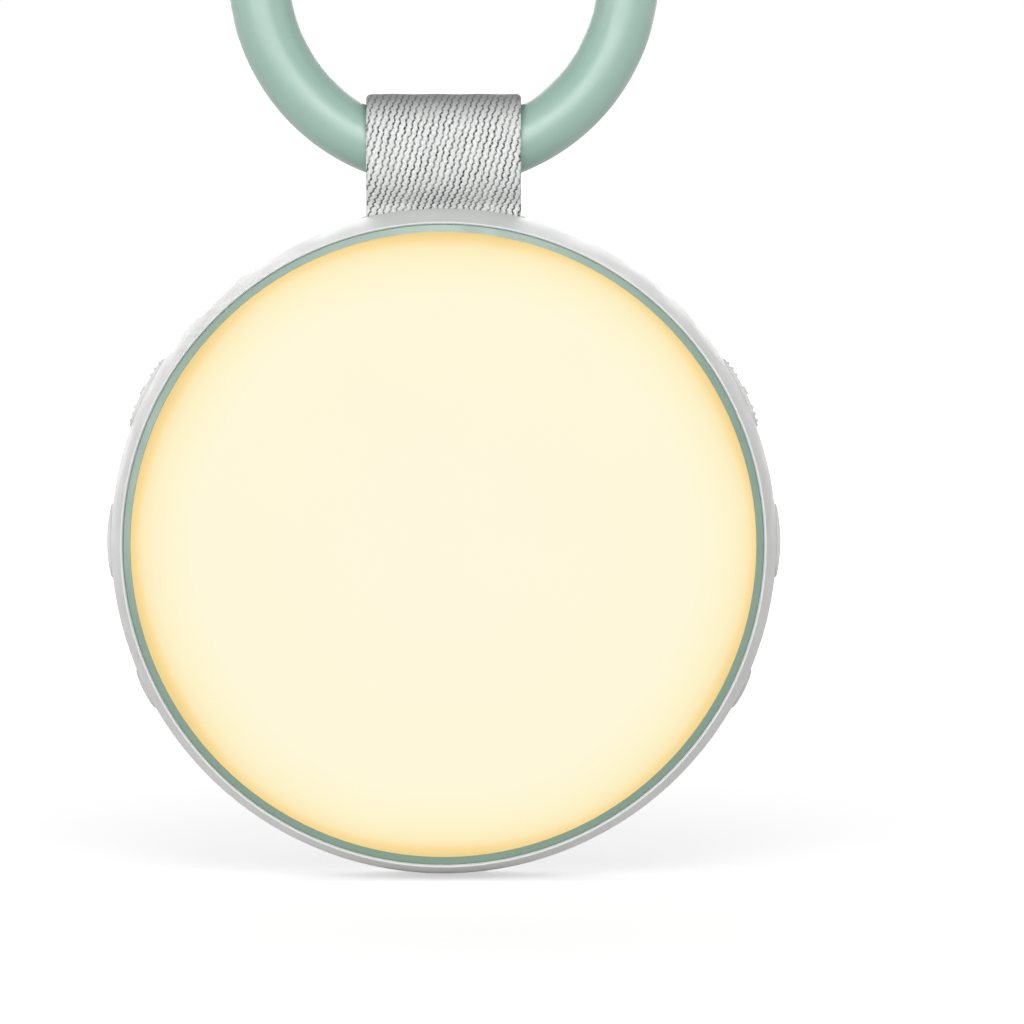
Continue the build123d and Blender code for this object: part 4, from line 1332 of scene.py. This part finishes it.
@dataclass
class ClothCover:
    """Cloth stretched over the speaker grille and tucked in round its edge."""

    profile_radius: float = 48.8 * MM
    flat_depth: float = 12.55 * MM
    rim_depth: float = 10.9 * MM
    tuck_depth: float = 9.4 * MM
    shoulder: float = 5.96 * MM
    shoulder_steps: int = 8
    thickness: float = 0.55 * MM
    spokes: int = 144
    rings: int = 40

    def profile(self) -> list[Point2]:
        """Works out the cloth's outer line from the middle to its tucked edge.

        Returns:
            Points as radius and depth.
        """
        flat_end = self.profile_radius - self.shoulder
        line = [(flat_end * i / self.rings, self.flat_depth) for i in range(self.rings)]
        drop = self.flat_depth - self.rim_depth
        for step in range(self.shoulder_steps + 1):
            turn = math.pi / 2 * step / self.shoulder_steps
            radius = flat_end + self.shoulder * math.sin(turn)
            line.append((radius, self.flat_depth - drop * (1 - math.cos(turn))))
        line += [(self.profile_radius, (self.rim_depth + self.tuck_depth) / 2)]
        line += [(self.profile_radius, self.tuck_depth)]
        return line

    def build(self) -> None:
        """Makes the cloth."""
        line = self.profile()
        points, flat, faces = [(0.0, line[0][1], CASING_CENTRE)], [(0.0, 0.0)], []
        travelled = 0.0
        for number, (radius, depth) in enumerate(line[1:]):
            travelled += math.dist((radius, depth), line[number])
            for spoke in range(self.spokes):
                turn = math.tau * spoke / self.spokes
                c, s = math.cos(turn), math.sin(turn)
                points.append((radius * c, depth, CASING_CENTRE + radius * s))
                flat.append((travelled * c / MM, travelled * s / MM))
        for spoke in range(self.spokes):
            follow = (spoke + 1) % self.spokes
            faces.append((0, 1 + follow, 1 + spoke))
            for ring in range(len(line) - 2):
                a, b = 1 + ring * self.spokes + spoke, 1 + ring * self.spokes + follow
                faces.append((a, b, b + self.spokes, a + self.spokes))
        cloth = piece_from("cover_cloth", points, faces, MelangeCloth().material(), flat)
        ply = cloth.modifiers.new("ply", "SOLIDIFY")
        ply.thickness = self.thickness
        ply.offset = -1
        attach(cloth, Body.CASING.value)
        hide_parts("fabric_cover")


class Speaker(DressedSolids):
    """The speaker behind the cloth."""

    finishes = {
        "speaker_grille": MouldedPlastic("grille_grey", shade(52, 52, 54), 0.6),
        "speaker_basket": MouldedPlastic("basket_coat", shade(34, 34, 35), 0.45),
        "speaker_top_plate": DrawnMetal("plate_zinc", shade(184, 182, 176), 0.35),
        "speaker_yoke": DrawnMetal("yoke_zinc", shade(182, 180, 174), 0.38),
        "speaker_magnet": DrawnMetal("ferrite", shade(70, 70, 74), 0.55),
        "voice_coil": DrawnMetal("coil_wire", shade(196, 120, 70), 0.3, Grain.ALONG_X),
        "speaker_spider": FibrousSheet("spider_cloth", shade(176, 128, 62), shade(204, 160, 90)),
        "speaker_cone": FibrousSheet("cone_paper", shade(30, 30, 31), shade(58, 58, 58)),
        "speaker_dust_cap": FibrousSheet("cap_paper", shade(28, 28, 29), shade(50, 50, 50)),
        "speaker_surround": FibrousSheet(
            "surround_rubber", shade(24, 24, 25), shade(34, 34, 35), roughness=0.6
        ),
        "speaker_gasket": FibrousSheet("gasket_foam", shade(40, 40, 41), shade(60, 60, 60)),
    }


class Electronics(DressedSolids):
    """Chassis, boards, switches, socket and cell."""

    finishes = {
        "chassis": MouldedPlastic("chassis_grey", shade(188, 188, 186), 0.5),
        "main_board": CircuitBoard("main_board_green"),
        "board_parts": MouldedPlastic("package_black", shade(32, 32, 34), 0.45),
        "side_switches": MouldedPlastic("switch_black", shade(46, 46, 48), 0.4),
        "usb_socket": DrawnMetal("socket_steel", shade(190, 190, 192), 0.3, Grain.ALONG_Z),
        "battery": CreasedFoil(),
        "battery_tape": FibrousSheet("tape_foam", shade(36, 36, 37), shade(56, 56, 56)),
    }


@dataclass
class Fasteners:
    """All the screws."""

    groups: tuple[str, ...] = ("shell_screws", "chassis_screws", "board_screws", "speaker_screws")

    def build(self) -> None:
        """Dresses the screws."""
        dress(list(self.groups), DrawnMetal("screw_zinc", shade(176, 176, 178), 0.34).material())


@dataclass
class Studio:
    """Pale floor, white surroundings, soft lights and the camera."""

    floor_height: float = -170.6 * MM
    floor_side: float = 14.0
    aim: Point3 = (11.0 * MM, 0.0, -112.0 * MM)
    elevation: float = 3.0
    lens: float = 500.0
    sensor: float = 36.0
    clip: Point2 = (0.05, 60.0)
    view_width: float = 165.2 * MM
    surround: float = 0.23
    lift_near: float = 0.54
    lift_far: float = 1.0
    lift_span: Point2 = (0.12, 0.9)
    lamps: tuple[tuple[str, Point3, float, float], ...] = (
        ("front_lamp", (0.0, -1.9, 0.05), 1.7, 21.5),
        ("upper_lamp", (0.0, -1.5, 0.78), 0.65, 6.2),
        ("key_lamp", (-0.93, -1.48, 0.02), 0.45, 3.8),
        ("left_lamp", (-1.6, -0.4, 0.0), 1.4, 4.3),
        ("right_lamp", (1.6, -0.5, 0.0), 1.4, 3.6),
        ("top_lamp", (0.05, -0.4, 1.3), 1.0, 2.0),
        ("rear_lamp", (-0.1, 1.9, 0.2), 1.7, 30.0),
    )

    def build(self) -> None:
        """Sets up the whole studio."""
        self.build_floor()
        self.build_world()
        for name, place, side, power in self.lamps:
            self.build_lamp(name, place, side, power)
        self.build_camera()

    def build_floor(self) -> None:
        """Lays the pale floor."""
        half = self.floor_side / 2
        corners = [(-half, -half), (half, -half), (half, half), (-half, half)]
        points = [(x, y, self.floor_height) for x, y in corners]
        floor = piece_from("studio_floor", points, [(0, 1, 2, 3)], self.floor_finish())

    def floor_finish(self) -> bpy.types.Material:
        """Builds the floor's finish: pale, and lifted to white where it is looked at.

        Returns:
            The material.
        """
        bench = Bench("pale_floor")
        shader = bench.node("ShaderNodeBsdfDiffuse")
        tint = bench.blend(bench.noise(0.4, 2.0), shade(214, 214, 214), shade(220, 220, 220))
        bench.feed(shader.inputs["Color"], tint)
        lift = bench.node("ShaderNodeEmission")
        bench.feed(lift.inputs["Color"], (1.0, 1.0, 1.0, 1.0))
        away = bench.node("ShaderNodeVectorMath", operation="LENGTH")
        bench.feed(away.inputs[0], bench.place.outputs["Object"])
        levels = (self.lift_near, self.lift_far)
        far = bench.spread(away.outputs["Value"], *self.lift_span, levels)
        bench.feed(lift.inputs["Strength"], bench.maths("MULTIPLY", self.looked_at(bench), far))
        both = bench.node("ShaderNodeAddShader")
        bench.feed(both.inputs[0], shader.outputs[0])
        bench.feed(both.inputs[1], lift.outputs[0])
        output = bench.node("ShaderNodeOutputMaterial")
        bench.feed(output.inputs["Surface"], both.outputs[0])
        return bench.material

    def looked_at(self, bench: Bench) -> Socket:
        """Tells the rays that show a surface from the rays that light it.

        Args:
            bench: The material being built.

        Returns:
            1 for camera, glossy and transmitted rays.
        """
        path = bench.node("ShaderNodeLightPath")
        seen = bench.maths("MAXIMUM", path.outputs["Is Camera Ray"], path.outputs["Is Glossy Ray"])
        return bench.maths("MAXIMUM", seen, path.outputs["Is Transmission Ray"])

    def build_world(self) -> None:
        """Surrounds the object with even light that looks white."""
        world = bpy.data.worlds.new("white_surround")
        bpy.context.scene.world = world
        world.use_nodes = True
        tree = world.node_tree
        tree.nodes.clear()
        path = tree.nodes.new("ShaderNodeLightPath")
        seen = path.outputs["Is Camera Ray"]
        for ray in ("Is Glossy Ray", "Is Transmission Ray"):
            either = tree.nodes.new("ShaderNodeMath")
            either.operation = "MAXIMUM"
            tree.links.new(seen, either.inputs[0])
            tree.links.new(path.outputs[ray], either.inputs[1])
            seen = either.outputs[0]
        strength = tree.nodes.new("ShaderNodeMapRange")
        strength.inputs["To Min"].default_value = self.surround
        strength.inputs["To Max"].default_value = 1.0
        tree.links.new(seen, strength.inputs["Value"])
        background = tree.nodes.new("ShaderNodeBackground")
        background.inputs["Color"].default_value = (1.0, 1.0, 1.0, 1.0)
        tree.links.new(strength.outputs[0], background.inputs["Strength"])
        output = tree.nodes.new("ShaderNodeOutputWorld")
        tree.links.new(background.outputs[0], output.inputs["Surface"])

    def build_lamp(self, name: str, place: Point3, side: float, power: float) -> None:
        """Hangs one square soft lamp, aimed at the casing.

        Args:
            name: The lamp's name.
            place: Where it hangs.
            side: Its side length.
            power: Its power in watts.
        """
        light = bpy.data.lights.new(name, "AREA")
        light.shape = "SQUARE"
        light.size = side
        light.energy = power
        lamp = bpy.data.objects.new(name, light)
        lamp.location = place
        lamp.rotation_euler = (Vector(self.aim) - Vector(place)).to_track_quat("-Z", "Y").to_euler()
        bpy.context.scene.collection.objects.link(lamp)

    def build_camera(self) -> None:
        """Sets the camera with a long lens, a little above the lamp's middle."""
        lens = bpy.data.cameras.new("camera")
        lens.lens = self.lens
        lens.sensor_width = self.sensor
        distance = self.view_width * self.lens / lens.sensor_width
        lens.clip_start, lens.clip_end = self.clip
        camera = bpy.data.objects.new("camera", lens)
        rise = math.radians(self.elevation)
        back = Vector((0.0, -math.cos(rise), math.sin(rise)))
        camera.location = Vector(self.aim) + back * distance
        camera.rotation_euler = (-back).to_track_quat("-Z", "Y").to_euler()
        bpy.context.scene.collection.objects.link(camera)
        bpy.context.scene.camera = camera


def main() -> None:
    """Builds the studio and every piece of the machine."""
    logging.basicConfig(level=logging.INFO, format="%(message)s")
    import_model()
    bpy.context.scene.view_settings.view_transform = "Standard"
    assemblies = (
        Studio(),
        HangingRing(),
        WebbingStrap(),
        NightLamp(),
        Casing(),
        RimControls(),
        ClothCover(),
        Speaker(),
        Electronics(),
        Fasteners(),
    )
    for assembly in assemblies:
        LOG.info("building %s", type(assembly).__name__)
        assembly.build()


if __name__ == "__main__":
    main()
